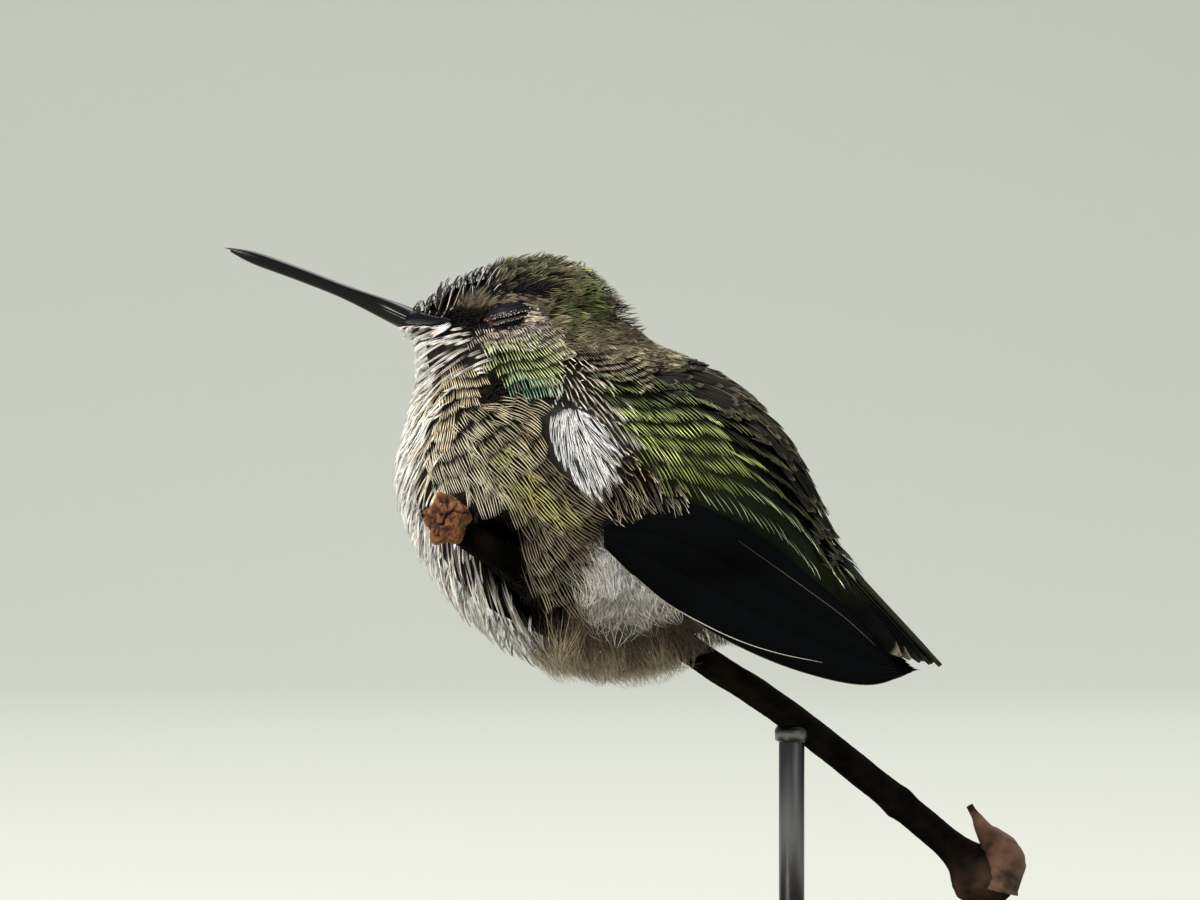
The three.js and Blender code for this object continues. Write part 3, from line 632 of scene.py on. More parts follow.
        (2.3, -12.4, -100), (4.2, -13.4, -85), (6.9, -11.9, -85), (9.7, -11.6, -75), (12.5, -12.0, -68),
        (11.2, -13.6, -66), (7.9, -14.4, -60), (14.4, -13.1, -60)]),
    "belly_edge": ("belly", "fluff_edge", "tan_down", [
        (3.4, -16.0, -46), (5.4, -16.6, -50), (7.9, -16.3, -56), (10.4, -15.5, -60), (0.6, -15.2, -44)]),
}

# How each kind of feather is built. Lengths in millimetres: the feather's length and width, the distance
# between rows and between feathers (0: its strands are set out evenly along each row), the rows (None:
# across the lie; a number: their direction in degrees; a place: arcs about it; "lie": no rows, but ribbons
# laid side by side), the pitch and thickness of its strands, the height of its tip and the depth of its
# root, the fan of its strands in degrees, how round its end is, how unruly it is in degrees, how uneven
# its height is, how wide the band of painted shade beyond the row above is, where along it the tip's
# colour starts, how far its edge towards the key lamp takes the tip's colour as painted light, and the
# stations along each strand.
Kind = collections.namedtuple(
    "Kind", "length width row apart rows pitch thick lift deep fan round wild uneven band tip edge n"
)
ARCS = (10.5, -16.0)
KINDS = {name: Kind(*row) for name, row in {
    "ridge": (3.2, 0.28, 0.42, 0, "lie", 0.09, 0.046, 0.4, 0.5, 0, 0.5, 2, 0.2, 0.3, 0.88, 0.95, 9),
    "crown": (2.4, 0.56, 0.8, 0.5, None, 0.12, 0.038, 0.36, 0.8, 10, 0.6, 11, 0.5, 0.3, 0.84, 0.3, 6),
    "nape": (4, 0.1, 0.19, 0, "lie", 0.07, 0.03, 0.75, 0.9, 0, 0.4, 4, 0.4, 0.3, 0.8, 0, 8),
    "lid": (1.3, 0.2, 0.18, 0, "lie", 0.07, 0.028, 0.12, 0.3, 0, 0.4, 2, 0.1, 0.1, 0.8, 0, 6),
    "velvet": (1, 0.4, 0, 0.32, None, 0.12, 0.055, 0.1, 0.4, 10, 0.3, 10, 0.1, 0.2, 0.8, 0, 4),
    "velvet_long": (2.6, 1.2, 0, 0.8, None, 0.3, 0.08, -1.7, 2.6, 10, 0.3, 10, 0.1, 0.2, 0.8, 0, 5),
    "fine": (1.5, 0.2, 0.22, 0, "lie", 0.07, 0.03, 0.07, 0.25, 0, 0.3, 6, 0.2, 0.1, 0.7, 0, 6),
    "fine_long": (1.9, 0.4, 0, 0.34, None, 0.12, 0.034, 0.12, 0.5, 10, 0.4, 10, 0.35, 0.1, 0.75, 0, 5),
    "comb_fine": (1.6, 1.2, 0.62, 0, 16, 0.23, 0.058, 0.16, 0.5, 5, 0.3, 4, 0.2, 0.2, 0.7, 0, 5),
    "lobe": (3, 0.9, 0, 1.6, None, 0.055, 0.038, 0.55, 0.2, -6, 1.3, 1, 0.05, 0.1, 0.55, 0, 10),
    "streak": (5.4, 0.3, 0.42, 0, "lie", 0.075, 0.036, 0.38, 0.5, 0, 0.9, 2, 0.35, 0.1, 0.6, 0.45, 11),
    "lock_soft": (5.6, 0.28, 0.42, 0, "lie", 0.075, 0.036, 0.34, 0.6, -3, 0.9, 3, 0.35, 0.2, 0.75, 0.2, 10),
    "lock": (6, 0.36, 0.56, 0, "lie", 0.08, 0.04, 0.4, 0.7, -4, 0.9, 3, 0.35, 0.3, 0.7, 0.35, 10),
    "comb_small": (2.6, 1.5, 1, 0, 16, 0.27, 0.06, 0.08, 0.4, 4, 0.3, 2, 0.12, 0.1, 0.7, 0, 7),
    "fringe": (3, 0.08, 0.2, 0, "lie", 0.07, 0.028, 0.4, 0.8, 0, 0.3, 2, 0.3, 0.2, 0.6, 0, 8),
    "comb": (4, 2.2, 1.6, 0, None, 0.25, 0.052, 0.3, 0.9, 10, 0.3, 3, 0.3, 0.2, 0.8, 0, 9),
    "silk": (4.8, 0.18, 0.14, 0, "lie", 0.06, 0.028, 0.45, 0.7, 4, 0.6, 4, 0.3, 0.1, 0.8, 0, 9),
    "silk_end": (3.8, 0.12, 0.19, 0, "lie", 0.06, 0.024, 0.45, 0.7, -5, 0.6, 9, 0.45, 0.3, 0.7, 0, 9),
    "shaft": (5.2, 0.8, 0.6, 0, "lie", 0.08, 0.052, 0.2, 0.5, 0, 0.8, 1, 0.15, 0.3, 0.985, 0.9, 9),
    "back": (3.4, 2.2, 1.36, 0, ARCS, 0.28, 0.052, 0.26, 0.8, 4, 0.4, 2, 0.25, 0.3, 0.84, 0, 8),
    "back_low": (3.4, 2.4, 1.6, 0, ARCS, 0.29, 0.052, 0.2, 0.8, 3, 0.35, 2, 0.2, 0.3, 0.84, 0, 8),
    "rump": (4.2, 2.4, 1.8, 0, ARCS, 0.3, 0.066, 0.22, 0.9, 4, 0.5, 2, 0.2, 0.3, 0.85, 0, 8),
    "down": (2.6, 0.8, 0, 0.38, None, 0.09, 0.017, 0.5, 0.8, 30, 0.5, 13, 0.45, 0.1, 0.7, 0, 8),
    "wisp": (3.4, 0.5, 0, 0.8, None, 0.11, 0.016, 0.7, 0.6, 40, 0.5, 14, 0.45, 0.1, 0.6, 0, 9),
    "fluff": (4, 1, 0, 0.7, None, 0.12, 0.017, 0.34, 1.1, 12, 0.5, 8, 0.35, 0.2, 0.8, 0, 7),
    "fluff_edge": (4.6, 0.9, 0, 0.66, None, 0.12, 0.018, 0.75, 1.1, 18, 0.5, 10, 0.45, 0.2, 0.8, 0, 8),
}.items()}

# Colours as linear red, green and blue: at the root, along the strand, and at its tip; then how much they
# vary from feather to feather. The near-black roots are partly the feathers' dark bases and partly painted
# shade under the row above.
TINTS = {
    "dark_edged": ((0.003, 0.002, 0.002), (0.018, 0.014, 0.011), (0.84, 0.79, 0.68), 0.3),
    "olive_dark": ((0.004, 0.003, 0.002), (0.08, 0.07, 0.035), (0.42, 0.39, 0.24), 0.6),
    "olive": ((0.01, 0.009, 0.004), (0.17, 0.16, 0.08), (0.5, 0.47, 0.29), 0.5),
    "olive_green": ((0.008, 0.009, 0.004), (0.13, 0.16, 0.05), (0.37, 0.43, 0.2), 0.6),
    "brown_tipped": ((0.008, 0.005, 0.004), (0.06, 0.042, 0.03), (0.42, 0.35, 0.24), 0.5),
    "brown": ((0.04, 0.03, 0.022), (0.16, 0.13, 0.095), (0.34, 0.29, 0.22), 0.2),
    "brown_pale": ((0.02, 0.015, 0.011), (0.22, 0.18, 0.13), (0.5, 0.43, 0.33), 0.35),
    # Black: also painted shadow in the brow band, the notch and the gap.
    "black": ((0.003, 0.0025, 0.002), (0.005, 0.004, 0.004), (0.009, 0.008, 0.007), 0.3),
    "pink_white": ((0.3, 0.2, 0.17), (0.84, 0.7, 0.6), (0.92, 0.82, 0.73), 0.12),
    "pink_brown": ((0.12, 0.085, 0.07), (0.4, 0.31, 0.27), (0.6, 0.5, 0.43), 0.2),
    "olive_grey": ((0.02, 0.016, 0.01), (0.16, 0.138, 0.085), (0.38, 0.34, 0.22), 0.5),
    "cheek_white": ((0.02, 0.014, 0.01), (0.5, 0.44, 0.37), (0.86, 0.8, 0.7), 0.25),
    "white": ((0.14, 0.12, 0.1), (0.56, 0.52, 0.48), (0.84, 0.8, 0.75), 0.15),
    "white_grey": ((0.012, 0.009, 0.007), (0.6, 0.55, 0.51), (0.9, 0.86, 0.82), 0.25),
    "cream": ((0.012, 0.008, 0.005), (0.6, 0.48, 0.32), (0.85, 0.74, 0.54), 0.2),
    "green_pale": ((0.05, 0.06, 0.015), (0.5, 0.6, 0.25), (0.78, 0.85, 0.48), 0.15),
    "turquoise": ((0.01, 0.02, 0.014), (0.17, 0.33, 0.22), (0.34, 0.5, 0.36), 0.15),
    "black_white": ((0.004, 0.003, 0.003), (0.42, 0.37, 0.3), (0.8, 0.75, 0.64), 0.35),
    # Partly painted light: the brighter white of the breast's lit left edge.
    "white_bright": ((0.14, 0.12, 0.1), (0.86, 0.84, 0.81), (0.94, 0.93, 0.91), 0.08),
    "white_tan": ((0.006, 0.004, 0.003), (0.62, 0.58, 0.53), (0.9, 0.87, 0.82), 0.35),
    "tan": ((0.02, 0.013, 0.008), (0.5, 0.41, 0.29), (0.82, 0.73, 0.58), 0.35),
    "dusky": ((0.003, 0.0025, 0.002), (0.26, 0.235, 0.21), (0.7, 0.66, 0.61), 0.7),
    "flank_pale": ((0.003, 0.002, 0.0015), (0.68, 0.62, 0.48), (0.9, 0.85, 0.7), 0.15),
    "flank_olive": ((0.003, 0.002, 0.001), (0.6, 0.57, 0.36), (0.84, 0.79, 0.55), 0.15),
    "flank_tan": ((0.005, 0.003, 0.002), (0.54, 0.46, 0.33), (0.8, 0.71, 0.55), 0.15),
    "gold": ((0.004, 0.004, 0.001), (0.54, 0.5, 0.19), (0.76, 0.71, 0.38), 0.15),
    "flank_brown": ((0.004, 0.003, 0.0015), (0.3, 0.245, 0.15), (0.66, 0.58, 0.41), 0.25),
    "flank_low": ((0.003, 0.002, 0.0015), (0.22, 0.18, 0.12), (0.62, 0.55, 0.41), 0.3),
    "silk_white": ((0.6, 0.6, 0.62), (0.9, 0.9, 0.92), (0.95, 0.95, 0.95), 0.05),
    "silk_grey": ((0.006, 0.0045, 0.003), (0.18, 0.15, 0.095), (0.55, 0.48, 0.34), 0.5),
    "mantle": ((0.003, 0.0025, 0.002), (0.014, 0.011, 0.008), (0.62, 0.55, 0.4), 0.2),
    "mantle_pale": ((0.003, 0.0025, 0.002), (0.14, 0.125, 0.075), (0.5, 0.46, 0.33), 0.5),
    "green_dark": ((0.003, 0.0035, 0.0015), (0.17, 0.22, 0.08), (0.56, 0.64, 0.31), 0.4),
    "green_shade": ((0.003, 0.003, 0.0015), (0.07, 0.085, 0.03), (0.26, 0.3, 0.14), 0.5),
    "green": ((0.003, 0.004, 0.001), (0.4, 0.5, 0.14), (0.78, 0.88, 0.42), 0.4),
    "blue_green": ((0.003, 0.0045, 0.003), (0.36, 0.46, 0.25), (0.78, 0.88, 0.62), 0.45),
    "back_dark": ((0.003, 0.0025, 0.002), (0.014, 0.013, 0.008), (0.34, 0.3, 0.18), 0.3),
    "rump": ((0.003, 0.004, 0.002), (0.04, 0.055, 0.025), (0.13, 0.16, 0.08), 0.3),
    "down_white": ((0.16, 0.145, 0.13), (0.66, 0.64, 0.6), (0.86, 0.83, 0.78), 0.2),
    "down_dusky": ((0.05, 0.042, 0.032), (0.4, 0.37, 0.31), (0.7, 0.66, 0.58), 0.25),
    # Partly painted shade: the belly's down is made darker than its own colour, as it lies in shade.
    "dusky_down": ((0.012, 0.009, 0.005), (0.12, 0.094, 0.06), (0.3, 0.25, 0.175), 0.22),
    # Partly painted light: the pale tips of the belly's lower edge, lit from behind.
    "tan_down": ((0.06, 0.045, 0.028), (0.4, 0.33, 0.22), (0.7, 0.61, 0.45), 0.25),
}

# Each coat piece: its slot in the record, its material, and its regions.
PIECES = {
    "coat_forehead": ("head_plumage", plume, ["forehead", "brow", "lid", "lid_rear", "lores", "behind"]),
    "coat_crown": ("head_plumage", plume, ["crown", "crown_green", "crown_rear", "nape"]),
    "coat_cheek": ("head_plumage", plume, ["ear", "malar"]),
    "coat_nape": ("head_plumage", plume, ["nape_side"]),
    "coat_throat": ("neck_plumage", plume, ["throat", "cheek", "cream", "notch"]),
    "coat_shoulder": ("neck_plumage", sheen, ["patch", "turquoise"]),
    "coat_breast_edge": ("body_plumage", plume, ["breast_white"]),
    "coat_breast": ("body_plumage", plume, ["breast", "breast_tan", "breast_inner"]),
    "coat_flank": ("body_plumage", plume, [
        "flank_pale", "flank_olive", "flank_top", "flank_brown", "flank_low", "gap", "flank_gold"]),
    "coat_silk": ("body_plumage", silk, ["silk", "fringe"]),
    "coat_silk_fringe": ("body_plumage", silk, ["silk_low"]),
    "coat_mantle": ("body_plumage", plume, ["mantle", "mantle_front", "back_dark"]),
    "coat_back": ("body_plumage", sheen, ["scapular", "green", "green_shade", "blue_green", "rump"]),
    "coat_down": ("body_plumage", plume, ["down", "down_low", "wisps"]),
    "coat_belly": ("body_plumage", plume, ["belly", "belly_edge"]),
}
OVERLAYS = {"malar": 0.5, "wisps": 1.5}  # regions over others, and how far they reach from their places
OVER_WING = {"silk", "back", "fringe", "mantle"}  # the groups whose feathers lie over the wing
BACK_END = ((13.2, 21.6, 29.9), (-0.3, -5.9, -9.8))  # along and up: where the back's green ends on the wing

NAMES = list(REGIONS)
ANCHORS = np.array([(*row, i) for i, name in enumerate(NAMES) for row in REGIONS[name][3]])
GROUPS = sorted({REGIONS[name][0] for name in NAMES})
ANCHOR_GROUP = np.array([GROUPS.index(REGIONS[NAMES[int(i)]][0]) for i in ANCHORS[:, 3]])
REGION_GROUP = np.array([REGIONS[name][0] for name in NAMES])
UNDER = ANCHORS[[NAMES[int(i)] not in OVERLAYS for i in ANCHORS[:, 3]]]


def region_of(sz):
    """The region whose nearest place it is, as an index."""
    out = np.empty(len(sz), int)
    for start in range(0, len(sz), 20000):
        part = sz[start : start + 20000]
        near = ((part[:, None] - UNDER[None, :, :2]) ** 2).sum(-1).argmin(-1)
        out[start : start + 20000] = UNDER[near, 3].astype(int)
    return out


def lie_at(sz, group):
    """The direction of the lie in the side view, blended within one group of regions, in radians."""
    a = ANCHORS[ANCHOR_GROUP == GROUPS.index(group)]
    w = 1 / (((sz[:, None] - a[None, :, :2]) ** 2).sum(-1) + 0.5) ** 2
    turn = np.radians(a[:, 2])
    return np.arctan2(w @ np.sin(turn), w @ np.cos(turn))


# ---------------------------------------------------------------- places on the surface

SLIT = 14  # how far the closed eye's slit rises towards the back, in degrees
EYE_PLACE = (-4.3, 17.1)


def eye_place(sz):
    """Where a place in the side view lies in the eye's own ellipse; below 1 inside it."""
    d = sz - np.array(EYE_PLACE)
    c, s = math.cos(math.radians(SLIT)), math.sin(math.radians(SLIT))
    along = d[..., 0] * c + d[..., 1] * s
    up = -d[..., 0] * s + d[..., 1] * c
    return np.hypot(along / 2.1, up / np.where(up > 0, 0.86, 0.78))


# Along the gape: how far along and up it is, and half its breadth.
GAPE = np.array([
    (-17.5, 18.0, 0.95), (-14.3, 16.95, 0.9), (-12.5, 16.62, 0.62), (-11, 16.45, 0.4), (-9.7, 16.35, 0.22)])


def gape_place(sz):
    """How far a place in the side view is from the gape and the bill's root, as a share of their breadth."""
    mid = np.interp(sz[..., 0], GAPE[:, 0], GAPE[:, 1])
    return np.abs(sz[..., 1] - mid) / np.interp(sz[..., 0], GAPE[:, 0], GAPE[:, 2], right=1e-3)


def surface_points(count):
    """Evenly spread places on the plumage's outer form."""
    found = []
    while sum(len(p) for p, _ in found) < count:
        p = rng.uniform((-17.5, -16.0, -17.5), (33.0, 16.0, 23.5), (400000, 3))
        found.append(lay(p[np.abs(plumage(p)) < 0.5]))
    return [np.concatenate(part)[:count] for part in zip(*found)]


def thin(p, row, apart):
    """Indices of points kept at least some distance apart within their row."""
    tree = kdtree.KDTree(len(p))
    shifted = p + np.stack([1000.0 * row, 0 * row, 0 * row], -1)
    for i, q in enumerate(shifted):
        tree.insert(q, i)
    tree.balance()
    gone = np.zeros(len(p), bool)
    kept = []
    for i in range(len(p)):
        if gone[i]:
            continue
        kept.append(i)
        for _, j, _ in tree.find_range(shifted[i], apart):
            gone[j] = True
    return np.array(kept, int)


def covered(p):
    """Places where no feather can be rooted or end: under the wing, on the bill, the eye or the twig."""
    sz = side_plane(p)
    wing = wing_depth(p[:, 0], p[:, 2]) > 1.6
    eye = (eye_place(sz) < 1.0) | (gape_place(sz) < 1.0)
    t = np.linspace(0, 1, 60)
    line = bill_line(t)
    near = np.linalg.norm(p[:, None] - line[None], axis=-1)
    bill = (near < bill_wide(t) * 0.7 + 0.1).any(-1)
    twig = from_twig(p)[1] < 2.2
    return wing | eye | bill | twig


def clear_of(p, height, over):
    """p moved out of the wing, over it or under it, and out of the twig and its bud."""
    x, y, z = p[:, 0], p[:, 1], p[:, 2]
    inside = wing_depth(x, z)
    if over:
        need = wing_out(x, z) + WING_OUTER + 0.15 + np.maximum(height, 0)
        far = np.abs(y) + (np.maximum(np.abs(y), need) - np.abs(y)) * smooth(inside, -2.2, 0.6)
    else:
        far = np.abs(y) + np.minimum(wing_out(x, z) - 0.2 - np.abs(y), 0) * smooth(inside, -0.6, 0.2)
    y = np.where(np.abs(y) > 3, np.sign(y) * far, y)
    p = np.stack([x, y, z], -1)
    gap, far = from_twig(p)
    push = np.maximum(1.85 - far, 0) / np.maximum(far, 0.05)
    p = p + gap * push[:, None]
    off = (p - TIP_BUD[0]) / (TIP_BUD[1] + 0.35)
    far = np.linalg.norm(off, axis=-1)
    return p + (p - TIP_BUD[0]) * (np.maximum(1 - far, 0) / np.maximum(far, 0.05))[:, None]


# ---------------------------------------------------------------- feathers


def places_of(name):
    return ANCHORS[ANCHORS[:, 3] == NAMES.index(name)]


def across_and_along(name, sz):
    """How far across and along its region's rows a place lies, in millimetres."""
    rows = KINDS[REGIONS[name][1]].rows
    if isinstance(rows, tuple):
        d = sz - np.array(rows)
        return np.hypot(d[..., 0], d[..., 1]), -20 * np.arctan2(d[..., 1], d[..., 0])
    line = math.radians(places_of(name)[:, 2].mean() + 90 if rows is None else rows)
    along, across = np.array([math.cos(line), math.sin(line)]), np.array([-math.sin(line), math.cos(line)])
    return sz @ across, sz @ along


def in_streams(name, p, normals):
    """Places for ribbons that lie side by side along the lie, the longest first, and their lengths."""
    group, kind = REGIONS[name][0], KINDS[REGIONS[name][1]]
    cell = kind.row / 3.6
    ball = np.stack(np.meshgrid(*[np.arange(-3, 4)] * 3, indexing="ij"), -1).reshape(-1, 3)
    ball = ball[(ball**2).sum(-1) <= 9]
    taken, chosen, lengths = set(), [], []
    for share in (1.0, 0.7, 0.45, 0.28):
        steps = max(4, int(kind.length * share / (cell * 1.8)))
        q, n, path = p, normals, [p]
        within, reach = np.ones(len(p), bool), np.zeros(len(p), int)
        for _ in range(int(steps * 0.8)):
            d = heading(q, n, lie_at(side_plane(q), group))
            q, n = lay(q - d * (kind.length * share / steps), rounds=1)
            path.append(q)
            if group != "fringe":
                within &= REGION_GROUP[region_of(side_plane(q))] == group
            reach += within
        part = np.where(within, share, share * (reach + 1) / steps)
        cells = np.floor(np.stack(path, 1) / cell).astype(int)
        for i in rng.permutation(len(p)):
            line = cells[i, : reach[i] + 1]
            if part[i] < 0.14 or any(tuple(c) in taken for c in line.tolist()):
                continue
            taken.update(map(tuple, (line[:, None] + ball).reshape(-1, 3).tolist()))
            chosen.append(i)
            lengths.append(part[i])
    return np.array(chosen), np.array(lengths)


def in_tufts(name, tips, normals):
    """Each feather's strand tips, side by side about the feather's own tip."""
    group, kind = REGIONS[name][0], KINDS[REGIONS[name][1]]
    count = len(tips)
    ahead = heading(tips, normals, lie_at(side_plane(tips), group))
    m = max(2, int(round(kind.width / kind.pitch)))
    u = np.linspace(-1, 1, m) + rng.normal(0, 0.06, (count, m))
    offset = np.cross(normals, ahead)[:, None] * (u * kind.pitch * (m - 1) / 2)[..., None]
    return (tips[:, None] + offset).reshape(-1, 3), np.repeat(np.arange(count), m), u.ravel()


def in_rows(name, p, number):
    """Strand tips set out evenly along each row, the feather each belongs to and its place across it."""
    kind, own = KINDS[REGIONS[name][1]], places_of(name)
    middle, lie = own[:, :2].mean(0), math.radians(own[:, 2].mean())
    ahead = middle + 0.1 * np.array([math.cos(lie), math.sin(lie)])
    slant = across_and_along(name, np.stack([middle, ahead]))[0]
    pitch = kind.pitch / max(abs(slant[1] - slant[0]) / 0.1, 0.35)
    along = across_and_along(name, side_plane(p))[1]
    run = number * 2 + (p[:, 1] > 0)
    tips, owner, across, count = [], [], [], 0
    for key in np.unique(run):
        mine = np.flatnonzero(run == key)
        cell = np.floor(along[mine] / 0.4).astype(int)
        cell -= cell.min()
        filled = np.bincount(cell)
        at = np.flatnonzero(filled)
        path = np.stack([np.bincount(cell, p[mine, k]) for k in range(3)], -1)[at] / filled[at][:, None]
        for part in np.split(np.arange(len(at)), np.flatnonzero(np.diff(at) > 2) + 1):
            if len(part) < 2:
                continue
            q = path[part]
            q[1:-1] = (q[:-2] + 2 * q[1:-1] + q[2:]) / 4
            q = np.vstack([q[0] - (q[1] - q[0]) * 0.5, q, q[-1] + (q[-1] - q[-2]) * 0.5])
            far = np.concatenate([[0], np.cumsum(np.linalg.norm(np.diff(q, axis=0), axis=1))])
            place = np.arange(pitch / 2, far[-1], pitch)
            place = place + rng.normal(0, 0.05 * pitch, len(place))
            widths = kind.width * np.exp(rng.normal(0, 0.15, int(far[-1] / kind.width * 2) + 3))
            ends = np.cumsum(widths) - rng.uniform(0, kind.width)
            feather = np.searchsorted(ends, place)
            tips.append(np.stack([np.interp(place, far, q[:, k]) for k in range(3)], -1))
            across.append(1 - 2 * (ends[feather] - place) / widths[feather])
            owner.append(feather + count)
            count += len(widths)
    _, owner = np.unique(np.concatenate(owner), return_inverse=True)
    return np.concatenate(tips), owner, np.concatenate(across)


def silk_top(s):
    """The top of the white tuft in the side view."""
    return 8.9 - np.where(s < 1.2, 0.38, 0.16) * (s - 1.2) ** 2


def raised(p):
    """How much higher the coat stands at some places: the soft dome of the lid over the closed eye."""
    sz = side_plane(p)
    return 0.4 * bell(sz[..., 0], -5.9, 2.0) * bell(sz[..., 1], 18.4, 0.7)


def strands(name, p, own, u, length):
    """Every strand of a region's feathers: paths, outward directions, thicknesses and tints."""
    group, kind, tint = REGIONS[name][:3]
    kind = KINDS[kind]
    count, total, n = own.max() + 1, len(p), kind.n
    p, normal = lay(p)
    lie = lie_at(side_plane(p), group)
    skew = rng.normal(0, math.radians(kind.wild), count)[own]
    p = p - heading(p, normal, lie + skew) * (kind.round * kind.width * 0.5 * np.abs(u) ** 2.2)[:, None]
    size = length[own] * np.exp(rng.normal(0, 0.1, count))[own] * np.exp(rng.normal(0, 0.05, total))
    if name == "silk":
        top = silk_top(side_plane(p)[:, 0] + (8 - p[:, 2]) / np.tan(lie))
        size = np.clip((top - p[:, 2]) / np.maximum(-np.sin(lie), 0.4) / kind.length, 0.12, size)
    high = kind.lift * np.exp(kind.uneven * np.clip(rng.normal(0, 1, count), -2, 1.3))[own]
    high = high + rng.normal(0, 0.03, total)
    p, normal = lay(p)
    high = high + raised(p)
    if kind.rows == "lie":
        high = high - 0.22 * kind.width * u * u
    # lamp_side: how far a strand lies towards the key lamp's side of its feather, used below for painted
    # light.
    lamp_side = np.cross(normal, heading(p, normal, lie)) @ np.array([-0.6, -0.3, 0.7]) * u * abs(u)
    spread = -math.radians(kind.fan) * u
    t = np.linspace(1, 0, n)
    path, outs = [p], [normal]
    step = kind.length * size / (n - 1)
    phase, wave = rng.uniform(0, 2 * np.pi, total), rng.normal(0, 1, total)
    for k in range(1, n):
        d = heading(p, normal, lie_at(side_plane(p), group) + skew)
        aside = np.cross(normal, d)
        swing = spread * (0.4 + t[k]) + wave * math.radians(kind.wild * 0.8) * np.sin(phase + 5 * t[k])
        d = unit(d * np.cos(swing)[:, None] + aside * np.sin(swing)[:, None])
        p = p - d * step[:, None]
        p, normal = lay(p, rounds=1)
        path.append(p)
        outs.append(normal)
    path, outs = np.stack(path[::-1], 1), np.stack(outs[::-1], 1)
    t = t[::-1][None, :]
    height = -kind.deep * (1 - t) ** 1.4 + high[:, None] * t
    seen = side_plane(path)
    height = height - 1.2 * smooth(np.minimum(eye_place(seen), gape_place(seen)), 1.05, 0.85)
    path = path + outs * height[..., None]
    flat = clear_of(path.reshape(-1, 3), np.broadcast_to(height, path.shape[:2]).ravel(), group in OVER_WING)
    path = flat.reshape(path.shape)
    taper = (0.55 + 0.45 * smooth(t, 0, 0.35)) * (1 - 0.75 * smooth(t, 0.72, 1.0) ** 1.5)
    radius = kind.thick * taper * np.exp(rng.normal(0, 0.08, (total, 1)))
    # The root's near-black colour, where the row above covers a strand and in a band beyond it, is partly
    # the feathers' dark bases and partly painted shade.
    root, middle, tip, vary = TINTS[tint]
    shown = (kind.row if kind.row else kind.length * 0.55) * 1.25 / kind.length
    shown = 0.85 if kind.rows == "lie" else min(1.0, shown)
    w1 = smooth(t, 1 - shown - 0.1, 1 - shown - 0.05 + kind.band)[..., None]
    w2 = smooth(t, kind.tip, min(kind.tip + 0.14, 1.0))[..., None]
    # Painted light: the strands on the key lamp's side of a feather take the tip's paler colour.
    w2 = np.maximum(w2, kind.edge * smooth(lamp_side, 0.15, 0.6)[:, None, None] * w1)
    colour = lerp(lerp(np.array(root), np.array(middle), w1), np.array(tip), w2)
    shade = np.exp(rng.normal(0, vary, count))[own] * np.exp(rng.normal(0, vary * 0.4, total))
    if kind.row and kind.rows != "lie" and not kind.apart:
        shade = shade * (1 - 0.5 * smooth(np.abs(u), 0.5, 1.0))
    return path, outs, radius, np.minimum(colour * shade[:, None, None], 0.95)


def tubes(path, outs, radius, colour, uv):
    """Closed three-sided strands with tapered ends, with their tints and places on the unwrap."""
    side, rise = frame_along(path, outs, axis=1)
    count, n, _ = path.shape
    verts = np.empty((count, n, 3, 3))
    for j, turn in enumerate((90, 210, 330)):
        a = math.radians(turn)
        verts[:, :, j] = path + radius[..., None] * (math.cos(a) * side + math.sin(a) * rise)
    at = np.arange(count * n * 3).reshape(count, n, 3)
    nxt = np.roll(at, -1, axis=2)
    quads = np.stack([at[:, 1:], nxt[:, 1:], nxt[:, :-1], at[:, :-1]], -1).reshape(-1, 4)
    tris = np.concatenate([at[:, 0], at[:, -1, [0, 2, 1]]])
    tints, uvs = (np.repeat(v.reshape(-1, v.shape[-1]), 3, axis=0) for v in (colour, uv))
    return (verts.reshape(-1, 3), [quads, tris]), tints, uvs


# ---------------------------------------------------------------- the skin under the coat

SKIN_STEP = 0.7  # the skin's mesh size
# How much of a kind's own colour the skin under it takes; the others let little of the skin show. The skin's
# darkness under the coat is painted shade.
SHOWN = {
    "lid": 0.6, "fine": 0.6, "fine_long": 0.4, "fluff": 0.5, "fluff_edge": 0.4, "silk": 0.05, "down": 0.3,
}
HIDDEN = 0.04


def skin_depth(p):
    """How far the skin lies under the plumage's outer form."""
    face = np.linalg.norm((side_plane(p) - np.array([-6.5, 16.5])) / np.array([5.5, 3.0]), axis=-1)
    depth = lerp(1.5, 0.75, smooth(p[..., 2], 9, 14))
    depth = lerp(0.32, depth, smooth(face, 0.7, 1.5))
    depth = lerp(depth, 0.5, smooth(p[..., 0], 13, 19) * smooth(p[..., 2], -10, -6))
    low = np.maximum(-9 - p[..., 2], 0) * 0.4 * smooth(p[..., 0], 12, 4)
    return np.minimum(depth + low, 2.4)


def on_side_view(f, p):
    """f(x, z) for a grid of points, worked out once for each place in the side view."""
    flat = f(p[:, 0, :, 0], p[:, 0, :, 2])
    return np.broadcast_to(flat[:, None], p.shape[:3])


def skin_field(p):
    """Below 0 inside the skin, which lies under the coat, clear of the twig and inside the wings."""
    clear = np.where((p[..., 0] > -6) & (p[..., 0] < 10), 2.6, 2.2)
    clear = clear - from_twig(p.reshape(-1, 3))[1].reshape(p.shape[:-1])
    behind = smooth(on_side_view(wing_depth, p), -1.5, 0.5)
    wing = np.abs(p[..., 1]) - (on_side_view(half_width, p) - 1.2)
    tucked = np.where(behind > 0.01, wing * behind - 3 * (1 - behind), -9)
    return np.maximum(np.maximum(plumage(p) + skin_depth(p), clear), tucked)


